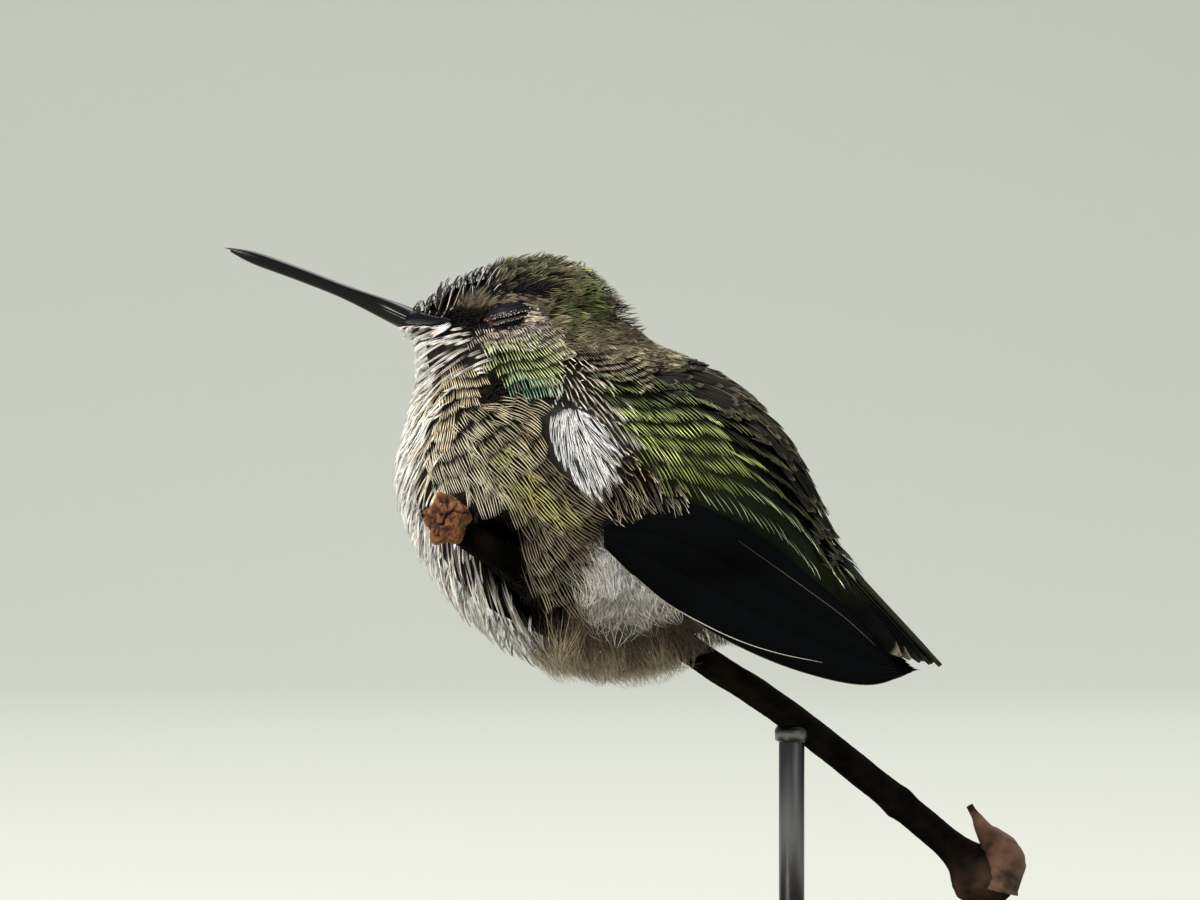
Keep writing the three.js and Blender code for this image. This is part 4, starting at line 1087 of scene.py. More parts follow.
def surface_net(f, low, high, step):
    """The surface where f is 0, as even quads with a vertex in each cell that it crosses."""
    axes = [np.arange(a, b + step, step) for a, b in zip(low, high)]
    grid = np.stack(np.meshgrid(*axes, indexing="ij"), -1)
    v = f(grid)
    inside = v < 0
    cells = tuple(s - 1 for s in v.shape)
    total, count = np.zeros((*cells, 3)), np.zeros(cells)
    crossings = []
    near, far, every = slice(0, -1), slice(1, None), slice(None)
    for axis in range(3):
        a = tuple(near if k == axis else every for k in range(3))
        b = tuple(far if k == axis else every for k in range(3))
        cross = inside[a] != inside[b]
        share = np.where(cross, v[a] / np.where(v[a] == v[b], 1, v[a] - v[b]), 0)
        place = grid[a].copy()
        place[..., axis] += share * step
        for edge in itertools.product((near, far), repeat=2):
            edge = (*edge[:axis], every, *edge[axis:])
            total += place[edge] * cross[edge][..., None]
            count += cross[edge]
        crossings.append((cross, inside[a]))
    mixed = count > 0
    index = np.full(cells, -1)
    index[mixed] = np.arange(mixed.sum())
    quads = []
    for axis, (cross, starts_inside) in enumerate(crossings):
        others = [k for k in range(3) if k != axis]
        where = np.argwhere(cross)
        where = where[np.all([(where[:, k] > 0) & (where[:, k] < cells[k]) for k in others], axis=0)]
        u, w = np.eye(3, dtype=int)[others]
        quad = np.stack([index[tuple((where - d).T)] for d in (u + w, w, 0 * u, u)], -1)
        back = starts_inside[tuple(where.T)] == (axis == 1)
        quad[back] = quad[back][:, ::-1]
        quads.append(quad)
    return total[mixed] / count[mixed][:, None], np.concatenate(quads)


def skin_tint(verts, quads):
    """The coat's own markings, darkened as painted shade by how far the skin is hidden and near the twig,
    and softened.
    """
    share = np.array([SHOWN.get(REGIONS[name][1], HIDDEN) for name in NAMES])
    middle = np.array([TINTS[REGIONS[name][2]][1] for name in NAMES])
    # Painted shade: the skin takes only a share of the coat's colour where the coat hides it.
    tint = (middle * share[:, None])[region_of(side_plane(verts))]
    # Painted shade: the skin goes dark close to the twig.
    tint = tint * smooth(from_twig(verts)[1], 3.0, 5.5)[:, None]
    for _ in range(2):
        beside, seen = np.zeros_like(tint), np.zeros(len(verts))
        for k in range(4):
            np.add.at(beside, quads[:, k], tint[quads[:, (k + 1) % 4]])
            np.add.at(seen, quads[:, k], 1)
        tint = tint * 0.5 + beside / np.maximum(seen, 1)[:, None] * 0.5
    return tint


verts, quads = surface_net(skin_field, (-17.5, -16, -18), (33, 16, 23.5), SKIN_STEP)
skin = mesh("skin", verts, [quads], bare, "body_plumage", skin_tint(verts, quads), ("head", "neck", "trunk"))
bpy.context.view_layer.objects.active = skin
skin.select_set(True)
skin.data.uv_layers.new(name="OFBake")
bpy.ops.object.mode_set(mode="EDIT")
bpy.ops.mesh.select_all(action="SELECT")
bpy.ops.uv.smart_project(angle_limit=math.radians(66), island_margin=0.004)
bpy.ops.object.mode_set(mode="OBJECT")
skin.select_set(False)

SKIN_TREE = BVHTree.FromPolygons(
    [v.co for v in skin.data.vertices], [face.vertices for face in skin.data.polygons])
SKIN_UV = np.empty(len(skin.data.loops) * 2, np.float32)
skin.data.uv_layers["OFBake"].uv.foreach_get("vector", SKIN_UV)
SKIN_UV = SKIN_UV.reshape(-1, 2)
PATCH = 0.003  # each feather's width and height on the unwrap


def on_unwrap(places):
    """Where each place, in millimetres, lies on the skin's own unwrap."""
    me = skin.data
    out = np.empty((len(places), 2))
    for i, q in enumerate((places + TRUNK) * 0.001):
        hit, _, face, _ = SKIN_TREE.find_nearest(Vector(q))
        loops = list(me.polygons[face].loop_indices)
        corners = np.array([me.vertices[me.loops[k].vertex_index].co for k in loops])
        w = 1 / (np.linalg.norm(corners - np.array(hit), axis=1) + 1e-5)
        out[i] = (SKIN_UV[loops] * w[:, None]).sum(0) / w.sum()
    return np.clip(out, PATCH, 1 - PATCH)


# ---------------------------------------------------------------- growing the coat

places, outward = surface_points(120000)
keep = ~covered(places)
places, outward = places[keep], outward[keep]
where = side_plane(places)
region = region_of(where + rng.normal(0, 0.25, where.shape))


def ends_in(name):
    """The places where a region's feathers can end, as indices."""
    if name in OVERLAYS:
        far = np.linalg.norm(where[:, None] - places_of(name)[None, :, :2], axis=-1).min(-1)
        found = np.flatnonzero(far < OVERLAYS[name])
    else:
        found = np.flatnonzero(region == NAMES.index(name))
    if name == "silk":
        found = found[where[found, 1] < silk_top(where[found, 0]) - 0.9]
    if REGIONS[name][0] == "back":
        found = found[where[found, 1] > np.interp(where[found, 0], *BACK_END)]
    return found


def set_out(name):
    """A region's strand tips, each one's feather and place across it, and the feathers' lengths."""
    kind, chosen = KINDS[REGIONS[name][1]], ends_in(name)
    if kind.rows == "lie":
        picked, length = in_streams(name, places[chosen], outward[chosen])
        kept = chosen[picked]
        return *in_tufts(name, places[kept], outward[kept]), length
    number = np.zeros(len(chosen))
    if kind.row:
        across = across_and_along(name, where[chosen])[0]
        across = across + 0.25 * np.sin(where[chosen, 0] * 0.9 + where[chosen, 1] * 0.7)
        number = np.round(across / kind.row)
        close = np.abs(across / kind.row - number) * kind.row < max(0.13 * kind.row, 0.12)
        chosen, number = chosen[close], number[close]
    if kind.apart:
        kept = chosen[thin(places[chosen], number, kind.apart)]
        tips, own, u = in_tufts(name, places[kept], outward[kept])
    else:
        tips, own, u = in_rows(name, places[chosen], number)
    return tips, own, u, np.ones(own.max() + 1)


def grown(name):
    """A region's strands as verts and faces, with their tints and their patches on the skin's unwrap."""
    tips, own, u, length = set_out(name)
    path, outs, radius, colour = strands(name, tips, own, u, length)
    _, first = np.unique(own, return_index=True)
    centre = on_unwrap(path[first, 0])[own]
    t = np.linspace(-0.5, 0.5, path.shape[1])
    patch = np.stack(np.broadcast_arrays(np.clip(u, -1, 1)[:, None] * 0.5, t[None, :]), -1)
    return tubes(path, outs, radius, colour, centre[:, None] + PATCH * patch)


for piece, (slot, finish, regions) in PIECES.items():
    parts, tints, uvs = zip(*[grown(name) for name in regions])
    verts, faces = join(parts)
    mesh(piece, verts, faces, finish, slot, np.concatenate(tints), uv=np.concatenate(uvs))
    print(f"{piece}: {sum(len(f) * (f.shape[1] - 2) for f in faces)} triangles")

# ---------------------------------------------------------------- bill and gape

horn = tinted("bill_horn", 0.24, Specular_IOR_Level=0.1)


def on_left(places):
    """Places on the left of the plumage's outer form that show at (along, up) in the side view."""
    y = np.full(len(places), 6.0)
    for _ in range(5):
        x = (places[:, 0] + y * math.sin(VIEW)) / math.cos(VIEW)
        y = half_width(x, places[:, 1])
    return lay(np.stack([x, -y, places[:, 1]], -1))


def mandible(side, reach, stations=110, around=32):
    """The upper (side 1) or lower (side -1) half of the bill."""
    t = np.linspace(0.002, 0.998, stations) * reach
    turn = circle(around)[None, :]
    deep = bill_half(t, 1.15, 0.62, 0.05, 0.5, 1.4)[:, None]
    rise = np.sin(turn)
    ridge = np.maximum(rise, 0) ** (1.0 if side < 0 else 0.92)
    groove = 0.05 * smooth(rise, 0.15, 0.4) * smooth(rise, 0.8, 0.5) * smooth(t, 0.5, 0.2)[:, None]
    out = np.where(rise > 0, 0.03 + (deep - 0.03) * ridge, 0.02 * rise)
    across = bill_wide(t)[:, None] * np.cos(turn) * (1 - groove)
    rings = bill_line(t)[:, None] + side * out[..., None] * BILL_UP
    return skinned(rings + across[..., None] * np.array([0, 1.0, 0]))


for name, side, reach, colour in (
    ("upper", 1, 1.0, (0.006, 0.006, 0.007)),
    ("lower", -1, 0.97, (0.005, 0.005, 0.005)),
):
    mesh(f"bill_{name}_horn", *mandible(side, reach), horn, "bill", colour, (f"bill_{name}",))


def gape_rim(stations=40):
    """The left rim of the gape, from inside the bill's root back into the cheek."""
    path, n = on_left(Curve([(-14.3, 17.3), (-12.9, 16.9), (-11.2, 16.6), (-9.2, 16.45)]).even(stations))
    t = np.linspace(0, 1, stations)
    path = path + n * lerp(-0.35, 0.0, smooth(t, 0, 0.5))[:, None]
    path[:, 1] = np.minimum(path[:, 1], -0.45)
    reach = lerp(0.85, 0.2, t**0.8) * np.sqrt(np.maximum(1 - smooth(t, 0.85, 1) ** 2, 0.01))
    around = circle(20)[None, :, None]
    upright = unit(np.cross(unit(np.gradient(path, axis=0)), n))
    rings = path[:, None] + reach[:, None, None] * np.cos(around) * upright[:, None]
    return skinned(rings + 0.42 * np.sin(around) * n[:, None])


rim = gape_rim()
mesh("gape", *join([rim, mirrored(rim)]), horn, "bill", (0.004, 0.0045, 0.007))

# ---------------------------------------------------------------- the closed eyes

lid_skin = tinted("lid_skin", 0.42, Specular_IOR_Level=0.08)
EYE_HALF = np.array([2.5, 2.1, 1.5])
EYE_MIDDLE = np.array([-3.42, -5.66, 16.95])
BRISTLE_ROWS = (-0.22, 0.1, 0.19, 0.29)  # how far each line of bristles lies above the slit


def slit_height(x):
    return -0.08 - 0.06 * (1 - x * x)


def lid_dome(rows=110, around=150):
    """A low dome of lid skin with its slit and the lids' thick edges, and its tints, with painted highlights
    on the upper lid's edge and crease and painted shade in the slit.
    """
    phi = np.linspace(0.01, np.pi - 0.01, rows)[:, None]
    theta = circle(around)[None, :]
    x, z = np.sin(phi) * np.cos(theta), np.sin(phi) * np.sin(theta)
    y = -np.cos(phi) + 0 * theta
    off = z - slit_height(x)
    width = np.sqrt(np.maximum(1 - x * x, 0))
    groove = bell(off, 0, 0.07) * smooth(width, 0.2, 0.45)
    upper = bell(off, 0.17, 0.09) * smooth(width, 0.2, 0.5)
    lower = bell(off, -0.16, 0.08) * smooth(width, 0.2, 0.5)
    crease = bell(off, 0.52, 0.05) * smooth(width, 0.3, 0.6)
    swell = 1 + smooth(-y, 0.0, 0.35) * (0.055 * upper + 0.05 * lower - 0.13 * groove - 0.05 * crease)
    tint = np.tile(np.array([0.006, 0.006, 0.009]), (*x.shape, 1))
    for colour, share in (
        # Painted highlight along the upper lid's edge and its crease.
        ((0.03, 0.029, 0.034), (0.6 * upper + 0.5 * crease) * 0.6),
        # Painted shade in the slit's groove.
        ((0.004, 0.003, 0.003), np.clip(groove * 1.4, 0, 1)),
        ((0.05, 0.032, 0.028), lower * 0.7),
        ((0.3, 0.15, 0.13), bell(x, -0.8, 0.12) * bell(off, 0, 0.16)),
    ):
        tint = lerp(tint, np.array(colour), share[..., None])
    return skinned(np.stack([x, y, z], -1) * EYE_HALF * swell[..., None]), with_ends(tint)


def closed_eye():
    """The left eye's lids, with short bristles along the edges of the lids."""
    dome, tint = lid_dome()
    parts, tints = [dome], [tint]
    for k in range(110):
        line = max(k % 5 - 1, 0)
        x = lerp(-0.74, 0.86, (k // 5 + 0.5) / 22) + rng.normal(0, 0.015)
        if line > 1 and not -0.62 < x < 0.4:
            continue
        z = slit_height(x) + BRISTLE_ROWS[line] + rng.normal(0, 0.018)
        y = -math.sqrt(max(1 - x * x - z * z, 0.02))
        size = np.array([0.055, 0.05, 0.075]) * rng.uniform(0.6, 1.15) * (1 if line < 2 else 0.75)
        bead = ellipsoid(np.array([x, y, z]) * EYE_HALF * 1.045, size, 6, rng.uniform(-40, 40))
        warm = smooth(x, -0.35, -0.6)
        shade = lerp(np.array([0.5, 0.48, 0.46]), np.array([0.5, 0.29, 0.26]), warm)
        parts.append(bead)
        tints.append(plain(bead, shade * rng.uniform(0.12, 1.0)))
    verts, faces = join(parts)
    return (turned(verts, -SLIT) + EYE_MIDDLE, faces), np.vstack(tints)


lids, tint = closed_eye()
pair("lids_{}", lids, lid_skin, "eye", tint, "eye_{}")

# ---------------------------------------------------------------- wings and tail

vane = tinted("flight_vane", 0.6, Specular_IOR_Level=0.03)
BLADES = 9
PALE_LINE = np.array([1, 0.93, 0.84])


def barb_relief(made, scale, strength):
    """Fine ridges of barbs, running out across a flight feather."""
    tree = made.node_tree
    wave = node(tree, "TexWave", Scale=scale, Distortion=1.5, Detail=2.0)
    turn = node(tree, "Mapping", Rotation=(0, math.radians(20), 0))
    tree.links.new(node(tree, "TexCoord").outputs["Object"], turn.inputs["Vector"])
    tree.links.new(turn.outputs["Vector"], wave.inputs["Vector"])
    bump(made, wave.outputs["Fac"], strength, 0.00004)


barb_relief(vane, 900, 0.4)


def wing_blade(bottom, top, end, inner, outer, stations=46, around=16):
    """The rings of one flight feather of the left wing, a thin curved blade."""
    u = np.linspace(0.004, 0.996, stations)
    s = lerp(0.04, end, u)
    low, high = LEADING.at(s), TRAILING.at(s)
    half = (top - bottom) / 2 * np.sqrt(np.maximum(1 - smooth(u, 0.84, 1) ** 2, 0))
    a, b = np.cos(circle(around))[None, :], np.sin(circle(around))[None, :]
    share = (bottom + top) / 2 - half[:, None] * a
    x = lerp(low[:, :1], high[:, :1], share)
    z = lerp(low[:, 1:], high[:, 1:], share)
    edge = np.sqrt(np.maximum(1 - a * a, 0)) ** 0.35 * np.sign(b)
    rachis = 0.1 * bell(a, 0.35, 0.12) * (b > 0)
    out = lerp(inner, outer, (1 + edge) / 2) + rachis
    camber = 0.12 * (1 - a * a)
    return np.stack([x, -(wing_out(x, z) + out + camber), z], -1)


def wing_parts(stations=42):
    """The left wing's blades, with their shafts and the pale lines that show on it, and their tints."""
    parts, tints = [], []

    def add(part, colour):
        parts.append(part)
        tints.append(plain(part, colour))

    for i in range(BLADES):
        bottom = 0.105 * i * (1 - 0.018 * i)
        rings = wing_blade(bottom, min(bottom + 0.3, 1.0), 1 - 0.014 * i, 0.1 * i, 0.1 * i + 0.2)
        add(skinned(rings), np.array([0.0008, 0.001, 0.0014]) * (1 + 0.3 * (i % 3)))
        shaft = rings[2:-2, 0] + np.array([0, -0.05, 0])
        add(bar(shaft, 0.035, 6, up=(0, -1, 0.3)), PALE_LINE * (0.06 if i == 0 else 0.012))
    for pale, radius, line in (
        (0.5, 0.04, [(9.0, -6.7), (12, -9.4), (14.9, -11.1), (18.4, -12.75), (21.9, -13.9), (25.6, -14.7)]),
        (0.1, 0.03, [(18.5, -3.6), (21, -5.6), (24.2, -8.0), (27.6, -10.6), (30.4, -13.2)]),
    ):
        x, z = Curve(line).even(stations).T
        taper = np.sin(np.linspace(0.05, np.pi - 0.05, stations)) ** 0.4
        path = np.stack([x, -(wing_out(x, z) + 1.45), z], -1)
        add(bar(path, radius * taper, 6, up=(0, -1, 0.3)), PALE_LINE * pale)
    return join(parts), np.vstack(tints)


wing, tint = wing_parts()
pair("wing_{}_vanes", wing, vane, "wing", tint, "wing_{}")

TAIL_PAIRS = 5
TAIL_LENGTH = 25
TAIL_DIP = 47
TAIL_END = (35.7, -15.4)


def rectrix(number, side, stations=44, around=16):
    """One tail feather, narrow at its root and rounded at its end, with its shaft, and its tints."""
    length, width = TAIL_LENGTH - 0.7 * number, 3.3 + 0.1 * number
    u = np.linspace(0.004, 0.996, stations)[:, None]
    a, b = np.cos(circle(around))[None, :], np.sin(circle(around))[None, :]
    half = width / 2 * lerp(0.55, 1.0, smooth(u, 0, 0.75))
    half = half * np.sqrt(np.maximum(1 - smooth(u, 0.86, 1) ** 2, 0.001))
    rounding = 1 - np.sqrt(np.maximum(1 - (a * half / (width / 2)) ** 2, 0))
    x = u * length - 0.9 * rounding * smooth(u, 0.8, 1)
    shaft = 0.16 * bell(a, 0, 0.1) * (b > 0) * lerp(1.0, 0.3, u)
    z = 0.3 + 0.1 * np.sign(b) * np.sqrt(np.maximum(1 - a * a, 0)) ** 0.4 + shaft - 0.12 * a * a
    droop = 3 + 8 * number
    p = turned(np.stack([x, half * a, z - 0.26 * number], -1), side * droop, axis=0)
    p[..., 2] -= 1.5 * math.sin(math.radians(droop))
    p = turned(p, side * 1.5 * number, axis=2)
    p[..., 1] += side * (0.6 + 0.12 * number)
    p = turned(p, TAIL_DIP)
    p[..., 0] += TAIL_END[0] - TAIL_LENGTH * math.cos(math.radians(TAIL_DIP))
    p[..., 2] += TAIL_END[1] + TAIL_LENGTH * math.sin(math.radians(TAIL_DIP))
    green, dark, pale = np.array([[0.014, 0.014, 0.008], [0.002, 0.0022, 0.003], [0.3, 0.27, 0.22]])
    tint = lerp(green, dark, smooth(u, 0.6, 0.78) * (0.3 + 0.7 * min(number, 2) / 2))
    tint = lerp(tint, pale, smooth(u, 0.95, 0.985) * (1.0 if number >= 3 else 0.1))
    return skinned(p), with_ends(np.repeat(tint[:, None], around, axis=1))


parts, tints = zip(*[rectrix(number, side) for number in range(TAIL_PAIRS) for side in (-1, 1)])
mesh("tail_vanes", *join(parts), vane, "tail", np.vstack(tints), ("tail",))

# ---------------------------------------------------------------- legs

scale_skin = tinted("leg_scales", 0.5)
SHANK = ((-0.1, 0), (1.2, 0), (3.0, 0.5))  # heights over the grip, and how far each leans back
TOES = ((1, -1.1, 150), (1, 0, 155), (1, 1.1, 150), (-1, 0, 135))  # front or back, spread and reach


def leg(t):
    """A leg that grips the twig at a share t of its length: the shank, three front toes and one behind."""
    i = int(round(t * TWIG_STEPS))
    middle = TWIG_PATH[i]
    along = unit(TWIG_PATH[i + 1] - TWIG_PATH[i - 1])
    up = unit(np.array([0, 0, 1.0]) - along * along[2])
    front = unit(np.cross(up, along))
    front = -front if front[0] > 0 else front
    grip = TWIG_THICK * 1.05 + 0.68
    shank = Curve([middle + up * (grip + rise) + [lean, 0, 0] for rise, lean in SHANK])
    parts = [bar(shank.even(26), 0.5 * (1 + 0.05 * np.sin(np.linspace(0, 1, 26) * 60)), 14)]
    s = np.linspace(0, 1, 40)
    for side, spread, reach in TOES:
        a = side * np.radians(np.linspace(-12, reach, 40))[:, None]
        path = middle + up * (grip - 0.02) * np.cos(a) + front * (grip - 0.02) * np.sin(a)
        path = path + along * (spread * smooth(s, 0, 0.5))[:, None]
        joints = 0.04 * np.abs(np.sin(s * 16)) * (s < 0.76)
        claw = lerp(1.0, 0.18, smooth(s, 0.78, 1.0))
        parts.append(bar(path, 0.36 * claw + joints, 12, up=along))
    return join(parts)


for name, t in (("left", 0.235), ("right", 0.325)):
    mesh(f"leg_{name}_scales", *leg(t), scale_skin, "leg", (0.02, 0.016, 0.015), (f"leg_{name}",))

# ---------------------------------------------------------------- the twig and its buds

bark = tinted("twig_bark", 0.85, mottle=0.4, Specular_IOR_Level=0.02)
dry = tinted("dry_bud", 0.7, Specular_IOR_Level=0.25)
bump(bark, noise(bark.node_tree, 2200, 6), 0.5, 0.0002)
bump(dry, noise(dry.node_tree, 2600, 6), 0.6, 0.0002)


def wrinkles(p, seed, scale, layers=5):
    """Soft noise built from a few crossed waves."""
    own = np.random.default_rng(seed)
    total = 0
    for k in range(layers * 3):
        direction = unit(own.normal(0, 1, 3))
        size = scale * 1.7 ** (k // 3)
        total = total + np.sin(p @ direction * size + own.uniform(0, 6.28)) / 1.5 ** (k // 3)
    return total / 3


def twig_part(around=40):
    """The twig's bark, ridged along its length and rough at its knuckle, and its tints, with painted shade
    in the relief's hollows and painted shadow along the part by the tip bud.
    """
    side, rise = frame_along(TWIG_PATH, [0, 0, 1.0])
    s = np.linspace(0, 1, TWIG_STEPS + 1)[:, None]
    turn = circle(around)[None, :]
    ridges = 0.03 * np.sin(5 * turn + 9 * s) + 0.02 * np.sin(11 * turn - 14 * s)
    r = twig_radius(s) * np.sqrt(np.maximum(1 - smooth(s, 0.992, 1.0) ** 2, 0.05)) + ridges
    ring = np.cos(turn)[..., None] * side[:, None] + np.sin(turn)[..., None] * rise[:, None]
    p = TWIG_PATH[:, None] + r[..., None] * ring
    rough = wrinkles(p, 5, 1.6)
    knuckle = smooth(s, 0.9, 0.95)
    # Painted shade: lighter where the relief is high, darker in its hollows.
    light = np.clip(0.5 + rough * 0.5, 0, 1)[..., None]
    tint = lerp(np.array([0.003, 0.0025, 0.002]), np.array([0.014, 0.0105, 0.008]), light)
    warm = lerp(np.array([0.02, 0.012, 0.008]), np.array([0.11, 0.065, 0.042]), light)
    # Painted shadow: the bark is darker along the part by the tip bud, in front of the breast.
    tint = lerp(tint, warm, knuckle[..., None] * 0.6) * lerp(0.3, 1.0, smooth(s, 0.3, 0.5))[..., None]
    return skinned(p + ring * (rough * lerp(0.035, 0.12, knuckle))[..., None]), with_ends(tint)


def crumpled_bud(facets=90):
    """The tip's dried bud: a faceted lump with five lobes and creases, and its tints, with painted shade in
    the creases and painted highlights on facet edges and high points.
    """
    phi = np.linspace(0.02, np.pi - 0.02, 120)[:, None]
    theta = circle(160)[None, :]
    d = np.stack([np.sin(phi) * np.cos(theta), -np.cos(phi) + 0 * theta, np.sin(phi) * np.sin(theta)], -1)
    own = np.random.default_rng(24)
    facing = unit(own.normal(0, 1, (facets, 3)))
    reach = own.uniform(0.86, 1.0, facets) / np.maximum(d @ facing.T, 0.25)
    reach.sort(axis=-1)
    shape = np.minimum(reach[..., 0], 1.04) + 0.08 * np.sin(5 * theta + 2 * d[..., 1]) * (1 - d[..., 1] ** 2)
    edge = smooth(reach[..., 1] - reach[..., 0], 0.03, 0.0)[..., None]
    deep = 0.06 - 0.2 * smooth(np.abs(wrinkles(d, 21, 2.6)), 0.35, 0.0) - np.abs(wrinkles(d, 22, 5.5)) * 0.1
    fine = wrinkles(d, 23, 14) * 0.014
    p = TIP_BUD[0] + np.array([0.75, 0, -0.2]) + d * TIP_BUD[1] * 0.95 * (shape + deep + fine)[..., None]
    # Painted shade and highlight: dark in the creases, paler on the facets' edges and the highest points.
    light = np.clip(0.62 + 3 * deep + fine * 8, 0, 1)[..., None]
    tint = lerp(np.array([0.03, 0.006, 0.003]), np.array([0.2, 0.075, 0.02]), light**2)
    tint = lerp(tint, np.array([0.4, 0.22, 0.09]), 0.35 * edge * light + smooth(light, 0.85, 1.0) * 0.5)
    return skinned(p), with_ends(tint)


def bud_scale(stations=60, around=40):
    """The dry scale that stands up at the twig's far end, and its tints, with painted shade in the hollows
    of its relief.
    """
    path = Curve([(39.6, 17.2, -37.0), (40.2, 17.4, -34.0), (38.4, 17.2, -31.2), (37.0, 17.0, -28.9)])
    path = path.even(stations)
    radius = lerp(2.0, 0.3, smooth(np.linspace(0, 1, stations), 0.25, 1))
    verts, faces = bar(path, radius, around, up=(0, 1, 0))
    rough = wrinkles(verts, 31, 1.4)
    middle = np.vstack([np.repeat(path, around, axis=0), path[0], path[-1]])
    verts = verts + unit(verts - middle) * (rough * 0.12)[:, None]
    # Painted shade: lighter where the relief is high, darker in its hollows.
    light = np.clip(0.5 + 0.6 * rough, 0, 1)[:, None]
    tint = lerp(np.array([0.03, 0.016, 0.01]), np.array([0.24, 0.13, 0.085]), light)
    high = smooth(verts[:, 2], -34, -30)[:, None]
    tint = lerp(tint, np.array([0.3, 0.16, 0.1]) * (0.6 + 0.6 * light), high * 0.6)
    tint = lerp(tint, np.array([0.015, 0.012, 0.01]), smooth(verts[:, 2], -29.9, -29.2)[:, None])
    return (verts, faces), tint


for name, made, finish, slot, stands_for in (
    ("twig_bark", twig_part(), bark, "bark", "perch_twig"),
    ("tip_bud_husk", crumpled_bud(), dry, "bud", "perch_tip_bud"),
    ("side_bud_scale", bud_scale(), dry, "bud", "perch_side_bud"),
):
    mesh(name, *made[0], finish, slot, made[1], (stands_for,))

# ---------------------------------------------------------------- the display stand

wood, shader, tree = material("stand_walnut", rough=0.38, Coat_Weight=0.25, Coat_Roughness=0.2)
grain = noise(tree, 60, 8, 0.6, stretch=((1.0, 9.0, 9.0), (0, 0, math.radians(3))))
fine = noise(tree, 900, 3, 0.5, stretch=((0.5, 12.0, 12.0), (0, 0, math.radians(3))))
walnut = (0.32, (0.022, 0.012, 0.007)), (0.52, (0.065, 0.037, 0.02)), (0.7, (0.11, 0.066, 0.036))
pores = ramp(tree, fine, (0.36, (0.45, 0.45, 0.45)), (0.5, (1, 1, 1)))
tree.links.new(mix(tree, 1.0, ramp(tree, grain, *walnut), pores, "MULTIPLY"), shader.inputs["Base Color"])
bump(wood, fine, 0.12, 0.0002)

steel, shader, tree = material("rod_steel", (0.14, 0.14, 0.145), 0.3, 1.0)
brushed = noise(tree, 700, 3, 0.5, stretch=((6.0, 6.0, 0.3), (0, 0, 0)))
worn = node(tree, "MapRange")
tree.links.new(brushed, worn.inputs["Value"])
worn.inputs["To Min"].default_value = 0.26
worn.inputs["To Max"].default_value = 0.42
tree.links.new(worn.outputs["Result"], shader.inputs["Roughness"])

BASE_HALF = (42, 29)
BASE_HIGH = 7
BASE_CORNER = 3.0
POST = 1.2


def plinth():
    """The base: a rounded slab with a cove under a bull-nosed top edge."""
    profile = [
        (0.55, 0), (0.4, 0.03), (0.1, 0.25), (0, 0.45), (0, 2.85), (0.1, 3.05), (0.8, 3.3), (0.97, 3.5),
        (0.85, 3.8), (0.5, 4.3), (0.15, 4.7), (0.02, 5.1), (0, 5.7), (0.12, 6.15), (0.45, 6.6), (0.95, 6.87),
        (1.6, BASE_HIGH), (2.6, BASE_HIGH),
    ]
    rings = []
    for inset, z in profile:
        ring = []
        r = max(BASE_CORNER - inset, 0.4)
        for k, (sx, sy) in enumerate(((1, 1), (-1, 1), (-1, -1), (1, -1))):
            cx, cy = sx * (BASE_HALF[0] - inset - r), sy * (BASE_HALF[1] - inset - r)
            for a in np.radians(np.linspace(90 * k, 90 * k + 90, 9)):
                ring.append((cx + r * math.cos(a) - TRUNK[0], cy + r * math.sin(a) - TRUNK[1], z + FLOOR))
        rings.append(ring)
    return skinned(np.array(rings))


def lathe(x, y, profile):
    """A turned body about an upright line, from radii and heights."""
    rings = [[(x + r * math.cos(a), y + r * math.sin(a), z) for a in circle(40)] for r, z in profile]
    return skinned(np.array(rings))


def post(t):
    """A rod with its collar on the base and its ferrule under the twig, at a share t of the twig."""
    x, y, z = TWIG_PATH[int(round(t * TWIG_STEPS))]
    top = BASE_HIGH + FLOOR
    rod = [(POST, top - 0.5), (POST, z - 0.9), (POST * 0.8, z - 0.5), (0.3, z - 0.35)]
    collar = [(2.3, -0.3), (2.3, 0.7), (2.1, 1.0), (1.5, 1.15), (1.3, 1.5), (1.19, 1.6)]
    collar = [(r, top + rise) for r, rise in collar]
    ferrule = [(POST, z - 2.3), (1.55, z - 2.1), (1.6, z - 1.2), (1.4, z - 0.8)]
    return join([lathe(x, y, profile) for profile in (rod, collar, ferrule)])


mesh("stand_plinth", *plinth(), wood, "stand_wood", None, ("stand_base",))
for name, t in (("front", 0.61), ("rear", 0.955)):
    mesh(f"stand_post_{name}", *post(t), steel, "rod", None, (f"stand_rod_{name}",))

# ---------------------------------------------------------------- camera, floor and light

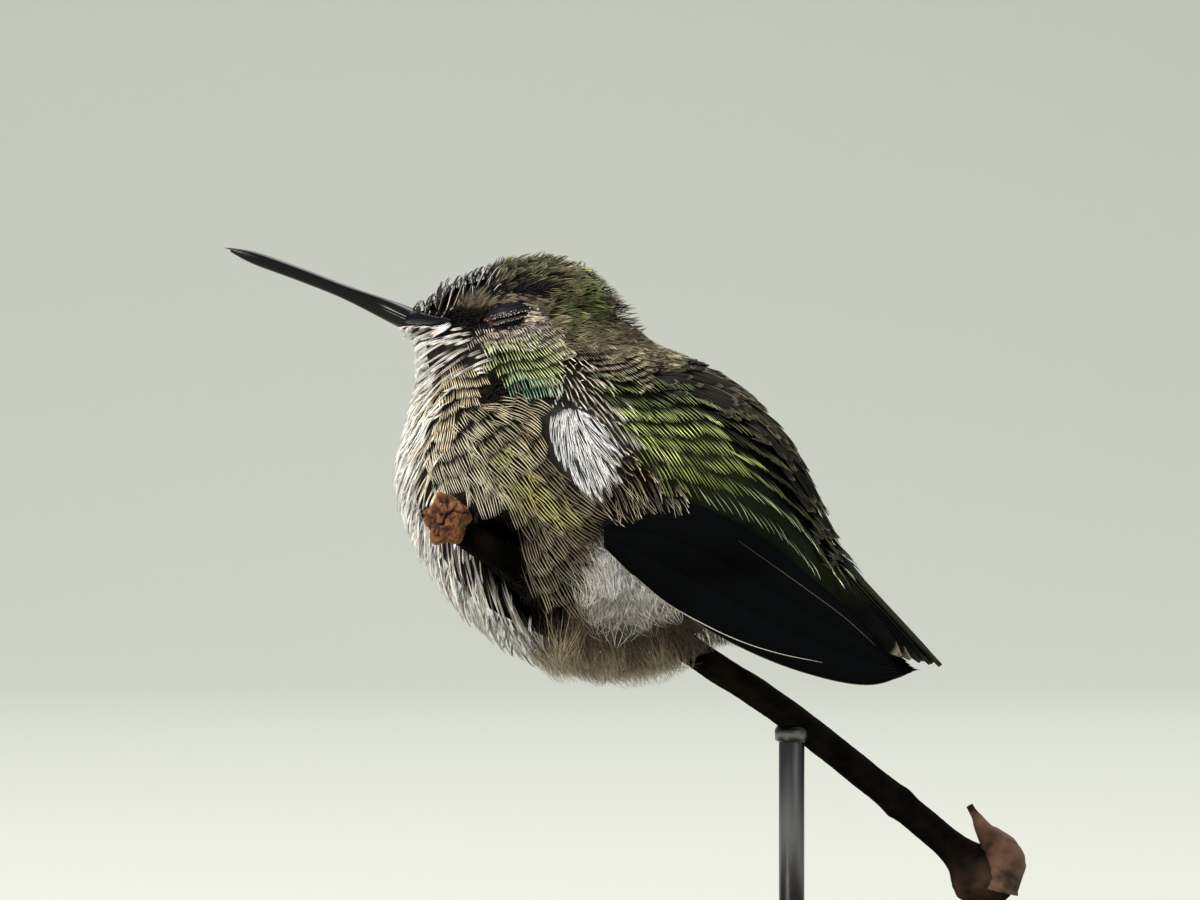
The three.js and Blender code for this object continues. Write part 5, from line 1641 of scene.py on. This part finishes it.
FRAME_WIDE = 1000 / 9  # the width of the photo's frame at the bird
CAMERA_FAR = 620
LENS_FILM = 36
right = np.array([math.cos(VIEW), math.sin(VIEW), 0])
look = np.array([-math.sin(VIEW), math.cos(VIEW), 0])
aim = TRUNK + FRAME_WIDE * (right * 3 / 80 + np.array([0, 0, 1 / 24]))
camera = bpy.data.cameras.new("camera")
camera.lens = LENS_FILM * CAMERA_FAR / FRAME_WIDE
camera.clip_start = 0.01
camera.clip_end = 50
bpy.context.scene.camera = aimed("camera", camera, Vector((aim - look * CAMERA_FAR) * 0.001), look)

paper, shader, tree = material("studio_paper", (0.6, 0.62, 0.56), 0.95, Specular_IOR_Level=0.1)
bend = [(-1.5, 0.0)] + [(d, 0.0) for d in np.linspace(-1.0, 1.1, 8)]
bend += [(1.1 + 0.7 * math.sin(a), 0.7 - 0.7 * math.cos(a)) for a in np.radians(np.linspace(8, 90, 14))]
bend += [(1.8, 1.6), (1.8, 2.6)]
points = [(*(side * 3.0 * right[:2] + look[:2] * away), z) for away, z in bend for side in (-1, 1)]
me = bpy.data.meshes.new("studio_sweep")
me.from_pydata(points, [], [(2 * i, 2 * i + 1, 2 * i + 3, 2 * i + 2) for i in range(len(bend) - 1)])
me.polygons.foreach_set("use_smooth", [True] * len(me.polygons))
me.materials.append(paper)
put("studio_sweep", me)


def lamp(name, place, size, power, colour=(1, 1, 1)):
    """A square area lamp, its place in metres from the bird: right, away and up as the camera sees it."""
    light = bpy.data.lights.new(name, "AREA")
    light.shape = "SQUARE"
    light.size = size
    light.energy = power
    light.color = colour
    offset = Vector(right) * place[0] + Vector(look) * place[1] + Vector((0, 0, place[2]))
    aimed(name, light, Vector(TRUNK * 0.001) + offset, -offset)


lamp("key", (-0.62, -0.66, 0.66), 0.2, 20, (1.0, 0.965, 0.9))
lamp("fill", (0.7, -0.9, 0.35), 0.9, 1.6)
lamp("rim", (0.3, 0.8, 0.9), 0.5, 3)
lamp("paper_light", (0.0, 0.9, 1.6), 1.2, 18)

world = bpy.data.worlds.new("studio")
world.use_nodes = True
world.node_tree.nodes["Background"].inputs["Color"].default_value = (0.9, 0.93, 0.95, 1)
world.node_tree.nodes["Background"].inputs["Strength"].default_value = 0.2
bpy.context.scene.world = world
bpy.context.scene.view_settings.view_transform = "Standard"
